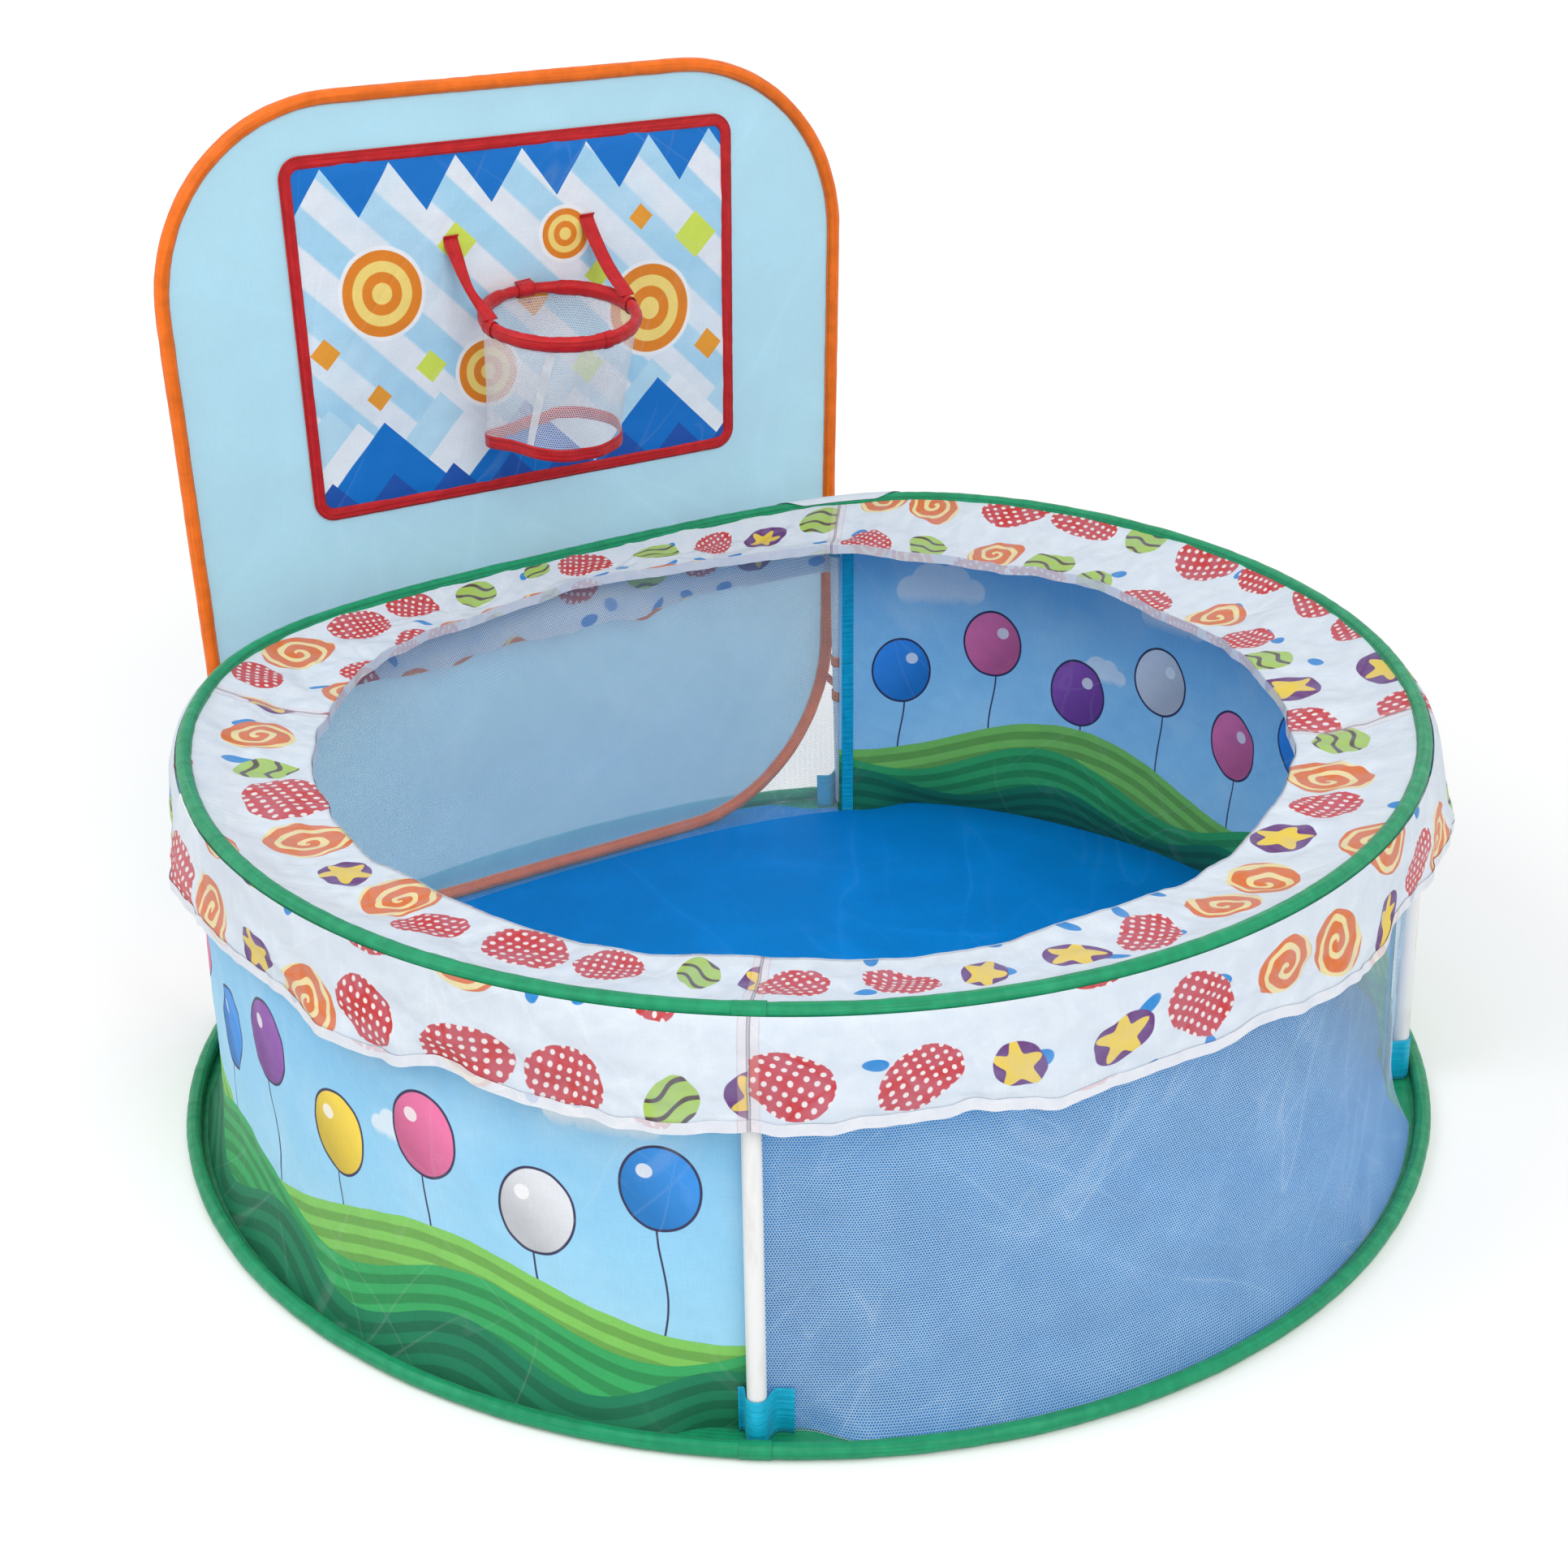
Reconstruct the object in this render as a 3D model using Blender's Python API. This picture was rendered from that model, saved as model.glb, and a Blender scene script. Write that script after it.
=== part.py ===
"""A child's pop-up ball pool with a ball-throw backboard, in metres, +Z up.

The pool stands on the ground with the middle of its floor at the origin. Two sprung
hoops in cloth sleeves carry cloth and mesh walls, four upright poles hold the top
hoop up, and a sprung, cloth-covered backboard with a small net hoop stands behind.
"""
import math
from collections import namedtuple

import bmesh
import bpy
from mathutils import Matrix, Vector

for old in list(bpy.data.objects):
    bpy.data.objects.remove(old, do_unlink=True)

# ---- Driving dimensions -------------------------------------------------------
CLEARANCE = 0.0003             # gap between pieces that touch
CLOTH = 0.0015                 # walls, floor, skirt and valance
THIN_CLOTH = 0.0010            # tapes, pockets, net and print
WIRE_RADIUS = 0.00175          # spring steel wire
FERRULE_WALL = 0.0012          # crimped tube that joins a wire's two ends
FERRULE_LENGTH = 0.050
SLEEVE_RADIUS = 0.0075         # cloth sleeve round a hoop's wire, outside
SLEEVE_WALL = 0.0015           # its cloth, with the seam allowance
SEAM_EDGE = 0.0018             # the base sleeve's flat seam edge, on the ground
SEAM_MARGIN = 0.004            # how far that edge runs in past the walls

BASE_RADIUS = 0.600            # outer edge of the base hoop's sleeve
BASE_DRAW_IN = 0.050           # how far its rear is drawn in towards the middle
TOP_STEP = 0.032               # the top hoop's radius is this much less
TOP_HEIGHT = 0.390             # centreline of the top hoop
FLAT_SHARPNESS = 10            # power that rounds the two ends of a flattened rear

POLE_RADIUS = 0.008            # plastic tube
POLE_BORE = 0.0062             # its inside radius
POLE_SPREAD = math.radians(45) # azimuth of each pole from the pool's front or rear
POLE_TO_SLEEVE = 0.0030        # room between a pole's foot and the base sleeve
POLE_TO_WALL = 0.0030          # room between a pole and the wall behind it
POLE_FOOT_ROOM = 0.0005        # room under a pole's foot
POLE_HEADROOM = 0.0165         # from a pole's top to the top hoop
PLUG_SPIGOT = 0.020            # length of an end plug inside the tube
FOOT_POCKET_HEIGHT = 0.044     # cloth pocket round a pole's foot
FOOT_POCKET_FLAP = 0.014       # its sewn flap beside the pole
TOP_POCKET_DEPTH = 0.040       # how far the top pocket covers the pole

WALL_HEM_WIDTH = 0.014         # binding down each end of a printed wall
WALL_HEM_START = 0.004         # from the corner seam to that binding
WALL_HEM_ROOM = 0.0017         # the wall's chords and folds bow in by less than this
WALL_FOLD = 0.0025             # depth of a wall's soft folds

SKIRT_DROP = 0.082             # the printed skirt outside the top hoop
SKIRT_HANG = 0.002             # how far its lower edge stands out between the poles
SKIRT_BULGE = 0.0155           # and how much further where it hangs over a pole
SKIRT_BULGE_SHARPNESS = 20     # power that keeps the bulge close to the pole
SKIRT_BULGE_RISE = 0.4         # power that lifts the bulge towards the hoop
SKIRT_FOLDS = 12
SKIRT_FOLD_DEPTH = 0.0035
SKIRT_HEM = 0.010
SKIRT_TO_BOARD = 0.0225        # room between the skirt and the backboard
VALANCE_WIDTH = 0.120          # printed cloth from the top hoop to the pool's mouth
VALANCE_REAR_WIDTH = 0.035     # the same, behind the flattened rear
VALANCE_DROP = 0.022           # how far the mouth hangs below the hoop
VALANCE_SAG = 0.006
VALANCE_FOLDS = 10
VALANCE_HEM = 0.010

BOARD_YAW = math.radians(-9)   # the backboard stands a little askew, as set up
BOARD_TO_HOOP = 0.0355         # room between its frame and the base hoop behind it
BOARD_TO_WALL = 0.0035         # room between its frame and the wall before it
BOARD_SHIFT = -0.025           # sideways, along the backboard
BOARD_WIDTH = 0.775
BOARD_HEIGHT = 0.881
BOARD_CORNER = 0.200           # radius of its corners
BOARD_NARROWING = 0.024        # each side leans in by this much at the foot
BOARD_DROOP = 0.0170           # one top corner is this share higher, the other lower
BOARD_PIVOT_RISE = 0.009       # it tips back about a line this far above the base hoop

TARGET_WIDTH = 0.500
TARGET_HEIGHT = 0.363
TARGET_BOTTOM = 0.458          # height of its lower edge above the board's foot
TARGET_CORNER = 0.022
TARGET_TAPE = 0.012

RIM_RADIUS = 0.076             # centreline of the net hoop
RIM_SLEEVE_RADIUS = 0.0058
RIM_SLEEVE_WALL = 0.0013
RIM_WIRE_RADIUS = 0.0014
RIM_HEIGHT = 0.668             # where the hoop meets the board
RIM_DIP = math.radians(6.5)    # its front hangs a little lower
RIM_TAB_WIDTH = 0.018          # tape loop that ties its rear to the board
RIM_TAB_FLAP = 0.010
RIM_TAB_ROOM = 0.0012          # the hoop turns in its tab with this much room
STRAP_WIDTH = 0.014
STRAP_RISE = 0.060             # from the hoop to where a strap is sewn on
STRAP_PATCH = 0.009            # its sewn end, flat on the board
NET_LENGTH = 0.110
NET_TAPER = 0.86               # width of the net's foot, as a share of its top
NET_FOLDS = 4
NET_FOLD_DEPTH = 0.003
NET_NOTCH = math.radians(20)   # each side of its rear, where it starts below the tab
NET_HEM = 0.012

TIE_HEIGHTS = {"low": 0.148, "high": 0.193}    # two hold the frame to each rear pole
TIE_WIDTH = 0.012
TIE_ROOM = 0.0030              # from the frame's binding to a tie's middle
TIE_LEAD = math.radians(25)    # how far a tie starts round the back of the binding
TIE_WRAP = math.radians(270)

# ---- Mesh fineness ------------------------------------------------------------
LOOP_STEPS = 60                # stations round a hoop
WALL_STEPS = 15                # steps along a wall, in line with the hoops' stations
CORNER_STEPS = 9               # steps round a backboard corner
TARGET_CORNER_STEPS = 3
ROUND_SIDES = 10               # sides of a pole
SLEEVE_SIDES = 8
HEXAGON = 6                    # sides of a ferrule and of a sleeve's bore
HEXAGON_FLAT = math.cos(math.pi / HEXAGON)     # from its middle to a flat, not a corner
RIM_STEPS = 24
WRAP_STEPS = 8                 # steps of a tape round the front of a rod
TIE_STEPS = 12

# ---- Colours ------------------------------------------------------------------
Look = namedtuple("Look", "colour roughness metallic alpha", defaults=(0.0, 1.0))
STEEL = Look((0.45, 0.45, 0.46), 0.35, 1.0)
GREEN_SATIN = Look((0.01, 0.30, 0.13), 0.45)
WHITE_CLOTH = Look((0.82, 0.84, 0.88), 0.75)
BLUE_MESH = Look((0.30, 0.52, 0.80), 0.80, 0.0, 0.7)
SKY_PRINT = Look((0.25, 0.60, 0.82), 0.75)
FLOOR_BLUE = Look((0.0, 0.22, 0.66), 0.55)
CYAN_SATIN = Look((0.0, 0.46, 0.66), 0.40)
WHITE_PLASTIC = Look((0.80, 0.80, 0.78), 0.35)
ORANGE_SATIN = Look((0.85, 0.16, 0.01), 0.40)
PANEL_BLUE = Look((0.38, 0.66, 0.80), 0.70)
TARGET_PRINT = Look((0.10, 0.45, 0.75), 0.65)
RED_TAPE = Look((0.55, 0.01, 0.02), 0.45)
WHITE_MESH = Look((0.85, 0.87, 0.90), 0.80, 0.0, 0.6)

# ---- The plan of the pool, seen from above ------------------------------------
UP = Vector((0, 0, 1))
ACROSS = Vector((1, 0, 0))     # along the backboard, in its own frame
BACKWARD = Vector((0, 1, 0))   # away from the pool, in the backboard's own frame
FULL_TURN = 2 * math.pi
QUARTER = math.pi / 2
BOARD_AZIMUTH = QUARTER + BOARD_YAW
FRONT_LEFT = -QUARTER - POLE_SPREAD
SEAM_AZIMUTH = FRONT_LEFT      # where each hoop's binding meets itself
POLE_AZIMUTHS = {
    "front_left": FRONT_LEFT,
    "front_right": -QUARTER + POLE_SPREAD,
    "rear_right": QUARTER - POLE_SPREAD,
    "rear_left": QUARTER + POLE_SPREAD,
}

Hoop = namedtuple("Hoop", "radius flat")


def flattened_hoop(radius, rear):
    """A round hoop whose side towards the backboard comes no further than rear."""
    power = FLAT_SHARPNESS
    return Hoop(radius, (rear ** -power - radius ** -power) ** (-1 / power))


SLEEVE_BORE = SLEEVE_RADIUS - SLEEVE_WALL
FERRULE_REACH = WIRE_RADIUS + CLEARANCE + FERRULE_WALL * HEXAGON_FLAT
BASE_REAR = BASE_RADIUS - BASE_DRAW_IN
BASE_HOOP = flattened_hoop(BASE_RADIUS, BASE_REAR)
BOARD_DISTANCE = BASE_REAR - 3 * SLEEVE_RADIUS - BOARD_TO_HOOP
BOARD_FRONT = BOARD_DISTANCE - SLEEVE_RADIUS
SKIRT_START = CLEARANCE + CLOTH / 2
SKIRT_REACH = SKIRT_START + SKIRT_HANG + SKIRT_FOLD_DEPTH + CLOTH / 2
TOP_RADIUS = BASE_RADIUS - TOP_STEP
TOP_REAR = BOARD_FRONT - SKIRT_TO_BOARD - SKIRT_REACH
TOP_HOOP = flattened_hoop(TOP_RADIUS, TOP_REAR)
MOUTH = flattened_hoop(TOP_RADIUS - VALANCE_WIDTH, TOP_REAR - VALANCE_REAR_WIDTH)

POLE_FOOT_INSET = 2 * SLEEVE_RADIUS + POLE_TO_SLEEVE + POLE_RADIUS
WALL_BEHIND_POLE = POLE_RADIUS + POLE_TO_WALL + CLOTH / 2
WALL_FOOT_INSET = POLE_FOOT_INSET + WALL_BEHIND_POLE
WALL_FOOT = flattened_hoop(BASE_RADIUS - WALL_FOOT_INSET, BOARD_FRONT - BOARD_TO_WALL)
WALL_TOP_INSET = SLEEVE_RADIUS * 5 / 3
POLE_HEAD_INSET = WALL_TOP_INSET - WALL_BEHIND_POLE
SEAM_EDGE_INSET = WALL_FOOT_INSET + SEAM_MARGIN
WALL_BOTTOM = SEAM_EDGE + CLEARANCE
SLEEVE_SLOPE = math.tan(math.radians(22.5))    # an eight-sided sleeve's lower faces
SLEEVE_RISE = (WALL_TOP_INSET - CLOTH / 2 - SLEEVE_RADIUS) * SLEEVE_SLOPE
WALL_TOP = TOP_HEIGHT - SLEEVE_RADIUS + SLEEVE_RISE - CLEARANCE
POLE_PIVOT_HEIGHT = SEAM_EDGE + POLE_FOOT_ROOM + POLE_RADIUS
POLE_TOP_HEIGHT = TOP_HEIGHT - SLEEVE_RADIUS - POLE_HEADROOM


def hoop_radius(azimuth, hoop):
    towards_board = max(0.0, math.cos(azimuth - BOARD_AZIMUTH))
    power = FLAT_SHARPNESS
    return (hoop.radius ** -power + (towards_board / hoop.flat) ** power) ** (-1 / power)


def hoop_point(azimuth, hoop, inset=0.0, height=0.0):
    """A point on a hoop's outline, moved inward by inset, and the way outward."""
    def outline(angle):
        radius = hoop_radius(angle, hoop)
        return Vector((radius * math.cos(angle), radius * math.sin(angle), height))

    along = (outline(azimuth + 0.01) - outline(azimuth - 0.01)).normalized()
    outward = along.cross(UP)
    return outline(azimuth) - outward * inset, outward


def hoop_frames(hoop, inset, height, azimuths):
    """Stations along a hoop: each is a place, the way outward and the way up."""
    return [(*hoop_point(azimuth, hoop, inset, height), UP) for azimuth in azimuths]


def loop_azimuths():
    return [SEAM_AZIMUTH + FULL_TURN * i / LOOP_STEPS for i in range(LOOP_STEPS)]


def seamed_azimuths(radius):
    """Right round a hoop, stopping a clearance short of the start at each end."""
    gap = CLEARANCE / radius
    middle = loop_azimuths()[1:]
    return [SEAM_AZIMUTH + gap, *middle, SEAM_AZIMUTH + FULL_TURN - gap]


def lerp(low, high, share):
    return low + (high - low) * share


# ---- Building blocks ----------------------------------------------------------
def material(name, look):
    made = bpy.data.materials.new(name)
    made.use_nodes = True
    shader = made.node_tree.nodes["Principled BSDF"]
    shader.inputs["Base Color"].default_value = (*look.colour, 1.0)
    shader.inputs["Roughness"].default_value = look.roughness
    shader.inputs["Metallic"].default_value = look.metallic
    shader.inputs["Alpha"].default_value = look.alpha
    return made


def place(name, data, look, parent=None):
    """Put mesh or curve data in the scene as one named piece with its own material."""
    piece = bpy.data.objects.new(name, data)
    bpy.context.collection.objects.link(piece)
    data.materials.append(material(name, look))
    piece.parent = parent
    return piece


def pivot(name, location, rotation=(0.0, 0.0, 0.0), parent=None):
    """An empty on a joint's axis, which carries the pieces that turn about it."""
    empty = bpy.data.objects.new(name, None)
    empty.location = location
    empty.rotation_euler = rotation
    empty.parent = parent
    bpy.context.collection.objects.link(empty)
    return empty


def place_solid(name, bm, look, parent=None):
    """Finish a bmesh as a piece with its faces pointing out and round parts smooth."""
    bmesh.ops.recalc_face_normals(bm, faces=bm.faces)
    mesh = bpy.data.meshes.new(name)
    bm.to_mesh(mesh)
    bm.free()
    mesh.shade_smooth()
    mesh.set_sharp_from_angle(angle=math.radians(40))
    return place(name, mesh, look, parent)


def circle_section(radius, sides):
    angles = [FULL_TURN * i / sides for i in range(sides)]
    return [(radius * math.cos(a), radius * math.sin(a)) for a in angles]


def sprung(frames, bore, reach):
    """Stations of a wire that springs outward in its sleeve's bore, until what reaches
    furthest from its middle is a clearance from the bore's two outer flats."""
    rest = bore - (reach + CLEARANCE) / HEXAGON_FLAT
    return [(origin + out * rest, out, up) for origin, out, up in frames]


def tape_section(thickness, width):
    x, y = thickness / 2, width / 2
    return [(-x, -y), (x, -y), (x, y), (-x, y)]


def skin(bm, frames, section, closed=False):
    """Carry a section of (out, up) pairs along a path and skin it with quads."""
    rings = []
    for origin, out, up in frames:
        rings.append([bm.verts.new(origin + out * a + up * b) for a, b in section])
    pairs = list(zip(rings, rings[1:]))
    if closed:
        pairs.append((rings[-1], rings[0]))
    for first, second in pairs:
        for i in range(len(section)):
            bm.faces.new((first[i - 1], first[i], second[i], second[i - 1]))
    return rings


def bar(bm, frames, section, closed=False):
    """A solid bar along a path, capped unless it closes on itself."""
    rings = skin(bm, frames, section, closed)
    if not closed:
        bm.faces.new(rings[0])
        bm.faces.new(rings[-1])


def sleeve(name, frames, outside, bore, look, parent=None):
    """A tube along a path, open at both ends."""
    bm = bmesh.new()
    outer = skin(bm, frames, outside)
    inner = skin(bm, frames, bore)
    for end in (0, -1):
        edges = []
        for ring in (outer[end], inner[end]):
            edges += [bm.edges.get((ring[i - 1], ring[i])) for i in range(len(ring))]
        bmesh.ops.triangle_fill(bm, edges=edges, use_beauty=True)
    return place_solid(name, bm, look, parent)


def wire_loop(name, frames, radius, parent=None):
    """A closed loop of round spring wire."""
    curve = bpy.data.curves.new(name, "CURVE")
    curve.dimensions = "3D"
    curve.bevel_depth = radius
    curve.bevel_resolution = 1
    spline = curve.splines.new("POLY")
    spline.points.add(len(frames) - 1)
    for point, frame in zip(spline.points, frames):
        point.co = (*frame[0], 1.0)
    spline.use_cyclic_u = True
    return place(name, curve, STEEL, parent)


def ferrule(name, first, second, wire_radius, parent=None):
    """The crimped tube round a wire's joint, centred on the run between two stations."""
    middle = (first[0] + second[0]) / 2
    along = (second[0] - first[0]).normalized()
    up = first[2]
    out = along.cross(up).normalized()
    frames = [(middle + along * side * FERRULE_LENGTH / 2, out, up) for side in (-1, 1)]
    bore = (wire_radius + CLEARANCE) / HEXAGON_FLAT
    outside = circle_section(bore + FERRULE_WALL, HEXAGON)
    sleeve(name, frames, outside, circle_section(bore, HEXAGON), STEEL, parent)


def cloth(name, rows, look, thickness=CLOTH, parent=None, closed=False):
    """A sheet of cloth through rows of points, given its thickness by Solidify."""
    bm = bmesh.new()
    grid = [[bm.verts.new(point) for point in row] for row in rows]
    columns = len(rows[0])
    for upper, lower in zip(grid, grid[1:]):
        for i in range(columns if closed else columns - 1):
            j = (i + 1) % columns
            bm.faces.new((upper[i], upper[j], lower[j], lower[i]))
    piece = place_solid(name, bm, look, parent)
    thick = piece.modifiers.new("cloth_thickness", "SOLIDIFY")
    thick.thickness = thickness
    thick.offset = 0.0
    return piece


def flat_sheet(name, outline, push, look, parent=None):
    """A flat sheet: an outline filled and pushed through its thickness."""
    bm = bmesh.new()
    face = bm.faces.new([bm.verts.new(point) for point in outline])
    made = bmesh.ops.extrude_face_region(bm, geom=[face])
    moved = [item for item in made["geom"] if isinstance(item, bmesh.types.BMVert)]
    bmesh.ops.translate(bm, verts=moved, vec=push)
    return place_solid(name, bm, look, parent)


def spin_profile(bm, profile, sides, closed=True):
    """Spin a profile of (radius, height) pairs about Z into one solid."""
    verts = [bm.verts.new((radius, 0.0, height)) for radius, height in profile]
    edges = [bm.edges.new(pair) for pair in zip(verts, verts[1:])]
    if closed:
        edges.append(bm.edges.new((verts[-1], verts[0])))
    bmesh.ops.spin(
        bm, geom=verts + edges, axis=(0, 0, 1), cent=(0, 0, 0), angle=FULL_TURN, steps=sides,
    )
    bmesh.ops.remove_doubles(bm, verts=bm.verts, dist=0.00002)


def tape(bm, path, width, thickness, across):
    """A flat tape bent along a path; across is the way its width runs."""
    frames = []
    for i, point in enumerate(path):
        ahead = path[min(i + 1, len(path) - 1)]
        behind = path[max(i - 1, 0)]
        along = (ahead - behind).normalized()
        frames.append((point, along.cross(across).normalized(), across))
    bar(bm, frames, tape_section(thickness, width))


def wrap_path(centre, outward, side, reach, back, flaps):
    """A tape's path: flat on what is behind, round the front of a rod, and flat again."""
    corner = reach + THIN_CLOTH
    path = [centre + side * (corner + flaps[0]) - outward * back]
    path.append(centre + side * corner - outward * back)
    for i in range(WRAP_STEPS + 1):
        turn = math.pi * i / WRAP_STEPS
        path.append(centre + (side * math.cos(turn) + outward * math.sin(turn)) * reach)
    path.append(centre - side * corner - outward * back)
    path.append(centre - side * (corner + flaps[1]) - outward * back)
    return path


# ---- Hoops --------------------------------------------------------------------
def base_hoop():
    """Sprung base hoop; its sleeve has a seam edge that lies flat on the ground."""
    middle = hoop_frames(BASE_HOOP, SLEEVE_RADIUS, SLEEVE_RADIUS, loop_azimuths())
    wire = sprung(middle, SLEEVE_BORE, FERRULE_REACH)
    wire_loop("base_hoop_wire", wire, WIRE_RADIUS)
    ferrule("base_hoop_ferrule", wire[-2], wire[-1], WIRE_RADIUS)
    outside = []
    for degrees in (-90, -35, 15, 65, 115, 165):
        turn = math.radians(degrees)
        outside.append((SLEEVE_RADIUS * math.cos(turn), SLEEVE_RADIUS * math.sin(turn)))
    edge_top = SEAM_EDGE - SLEEVE_RADIUS
    edge_end = SLEEVE_RADIUS - SEAM_EDGE_INSET
    outside += [(-SLEEVE_RADIUS, edge_top), (edge_end, edge_top), (edge_end, -SLEEVE_RADIUS)]
    azimuths = seamed_azimuths(BASE_RADIUS)
    frames = hoop_frames(BASE_HOOP, SLEEVE_RADIUS, SLEEVE_RADIUS, azimuths)
    bore = circle_section(SLEEVE_BORE, HEXAGON)
    sleeve("base_hoop_sleeve", frames, outside, bore, GREEN_SATIN)


def top_hoop():
    """Sprung top hoop in a round sleeve."""
    middle = hoop_frames(TOP_HOOP, SLEEVE_RADIUS, TOP_HEIGHT, loop_azimuths())
    wire = sprung(middle, SLEEVE_BORE, FERRULE_REACH)
    wire_loop("top_hoop_wire", wire, WIRE_RADIUS)
    ferrule("top_hoop_ferrule", wire[-2], wire[-1], WIRE_RADIUS)
    azimuths = seamed_azimuths(TOP_RADIUS)
    frames = hoop_frames(TOP_HOOP, SLEEVE_RADIUS, TOP_HEIGHT, azimuths)
    outside = circle_section(SLEEVE_RADIUS, SLEEVE_SIDES)
    bore = circle_section(SLEEVE_BORE, HEXAGON)
    sleeve("top_hoop_sleeve", frames, outside, bore, GREEN_SATIN)


# ---- Floor and walls ----------------------------------------------------------
def floor_sheet():
    inset = SEAM_EDGE_INSET + CLEARANCE
    outline = [hoop_point(azimuth, BASE_HOOP, inset)[0] for azimuth in loop_azimuths()]
    flat_sheet("floor_sheet", outline, UP * CLOTH, FLOOR_BLUE)


def wall_point(azimuth, share, fold):
    """A point on the walls: share is 0 at the ground seam and 1 under the top hoop."""
    foot, outward = hoop_point(azimuth, WALL_FOOT, 0.0, WALL_BOTTOM)
    top = hoop_point(azimuth, TOP_HOOP, WALL_TOP_INSET, WALL_TOP)[0]
    return lerp(foot, top, share) + outward * fold


def wall(name, start, end, look, folds):
    """One wall, softly folded, which stops short of the corner seams behind the poles."""
    gap = CLEARANCE / TOP_REAR
    rows = []
    for share in (1.0, 0.66, 0.33, 0.0):
        row = []
        for i in range(WALL_STEPS + 1):
            along = i / WALL_STEPS
            slack = WALL_FOLD * math.sin(math.pi * share) * math.sin(math.pi * along)
            fold = slack * (math.sin(FULL_TURN * folds * along) - 1)
            row.append(wall_point(lerp(start + gap, end - gap, along), share, fold))
        rows.append(row)
    cloth(name, rows, look)


def wall_hems(side, ends):
    """Bindings inside a printed wall, one beside the seam at each of its ends."""
    inset = (WALL_HEM_START + WALL_HEM_WIDTH / 2) / BASE_RADIUS
    depth = (CLOTH + THIN_CLOTH) / 2 + WALL_HEM_ROOM
    for end, azimuth, inward in ends:
        middle = azimuth + inward * inset
        outward = hoop_point(middle, WALL_FOOT)[1]
        along = UP.cross(outward)
        frames = [(wall_point(middle, share, -depth), outward, along) for share in (0, 0.5, 1)]
        bm = bmesh.new()
        bar(bm, frames, tape_section(THIN_CLOTH, WALL_HEM_WIDTH))
        place_solid("wall_hem_" + side + "_" + end, bm, CYAN_SATIN)


def walls():
    """Two printed side walls and two mesh walls, seamed together behind the poles."""
    front, right, rear, left = POLE_AZIMUTHS.values()
    wall("wall_mesh_front", front, right, BLUE_MESH, 2)
    wall("wall_print_right", right, rear, SKY_PRINT, 3)
    wall("wall_mesh_rear", rear, left, BLUE_MESH, 1)
    wall("wall_print_left", left, front + FULL_TURN, SKY_PRINT, 3)
    wall_hems("right", [("front", right, 1), ("rear", rear, -1)])
    wall_hems("left", [("rear", left, 1), ("front", front, -1)])


# ---- Poles and their pockets --------------------------------------------------
def pole(corner, foot, head):
    """A plastic tube with a plug in each end; the foot plug's round nose is the pivot."""
    upright = (head - foot).normalized()
    turn = upright.to_track_quat("Z", "Y").to_euler()
    holder = pivot("pole_pivot_" + corner, foot, turn)
    tube_top = (head - foot).length - POLE_RADIUS

    bm = bmesh.new()
    tube_wall = [
        (POLE_BORE, CLEARANCE), (POLE_RADIUS, CLEARANCE),
        (POLE_RADIUS, tube_top), (POLE_BORE, tube_top),
    ]
    spin_profile(bm, tube_wall, ROUND_SIDES)
    place_solid("pole_" + corner, bm, WHITE_PLASTIC, holder)

    plug = []
    for degrees in (0, 35, 65, 90):
        angle = math.radians(degrees)
        plug.append((POLE_RADIUS * math.sin(angle), -POLE_RADIUS * math.cos(angle)))
    spigot = POLE_BORE - CLEARANCE
    plug += [(spigot, 0.0), (spigot, PLUG_SPIGOT), (0.0, PLUG_SPIGOT)]
    seat = tube_top + CLEARANCE
    head_plug = [(radius, seat - height) for radius, height in plug]
    for end, profile in (("foot", plug), ("head", head_plug)):
        bm = bmesh.new()
        spin_profile(bm, profile, ROUND_SIDES, closed=False)
        place_solid("pole_" + end + "_plug_" + corner, bm, WHITE_PLASTIC, holder)


def foot_pocket(corner, foot, head, outward):
    """Cloth pocket sewn to the foot of the wall, round the pole's foot."""
    reach = POLE_RADIUS + CLEARANCE + THIN_CLOTH / 2
    back = POLE_RADIUS + POLE_TO_WALL - CLEARANCE - THIN_CLOTH / 2
    middle = WALL_BOTTOM + FOOT_POCKET_HEIGHT / 2
    centre = lerp(foot, head, (middle - foot.z) / (head.z - foot.z))
    flaps = (FOOT_POCKET_FLAP, FOOT_POCKET_FLAP / 2)
    path = wrap_path(centre, outward, UP.cross(outward), reach, back, flaps)
    bm = bmesh.new()
    tape(bm, path, FOOT_POCKET_HEIGHT, THIN_CLOTH, (head - foot).normalized())
    place_solid("foot_pocket_" + corner, bm, CYAN_SATIN)


def top_pocket(corner, foot, head):
    """Cloth cap, gathered to a point under the top hoop, that a pole's head stands in."""
    bore = POLE_RADIUS + CLEARANCE
    outside = bore + THIN_CLOTH
    roof = 2 * CLEARANCE
    tip = POLE_HEADROOM + CLEARANCE
    profile = [
        (0.0, roof), (bore, roof), (bore, -TOP_POCKET_DEPTH), (outside, -TOP_POCKET_DEPTH),
        (outside, roof + THIN_CLOTH), (POLE_RADIUS / 3, tip), (0.0, tip),
    ]
    bm = bmesh.new()
    spin_profile(bm, profile, ROUND_SIDES, closed=False)
    turn = (head - foot).to_track_quat("Z", "Y").to_matrix().to_4x4()
    bmesh.ops.transform(bm, matrix=Matrix.Translation(head) @ turn, verts=bm.verts)
    place_solid("top_pocket_" + corner, bm, CYAN_SATIN)


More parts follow.
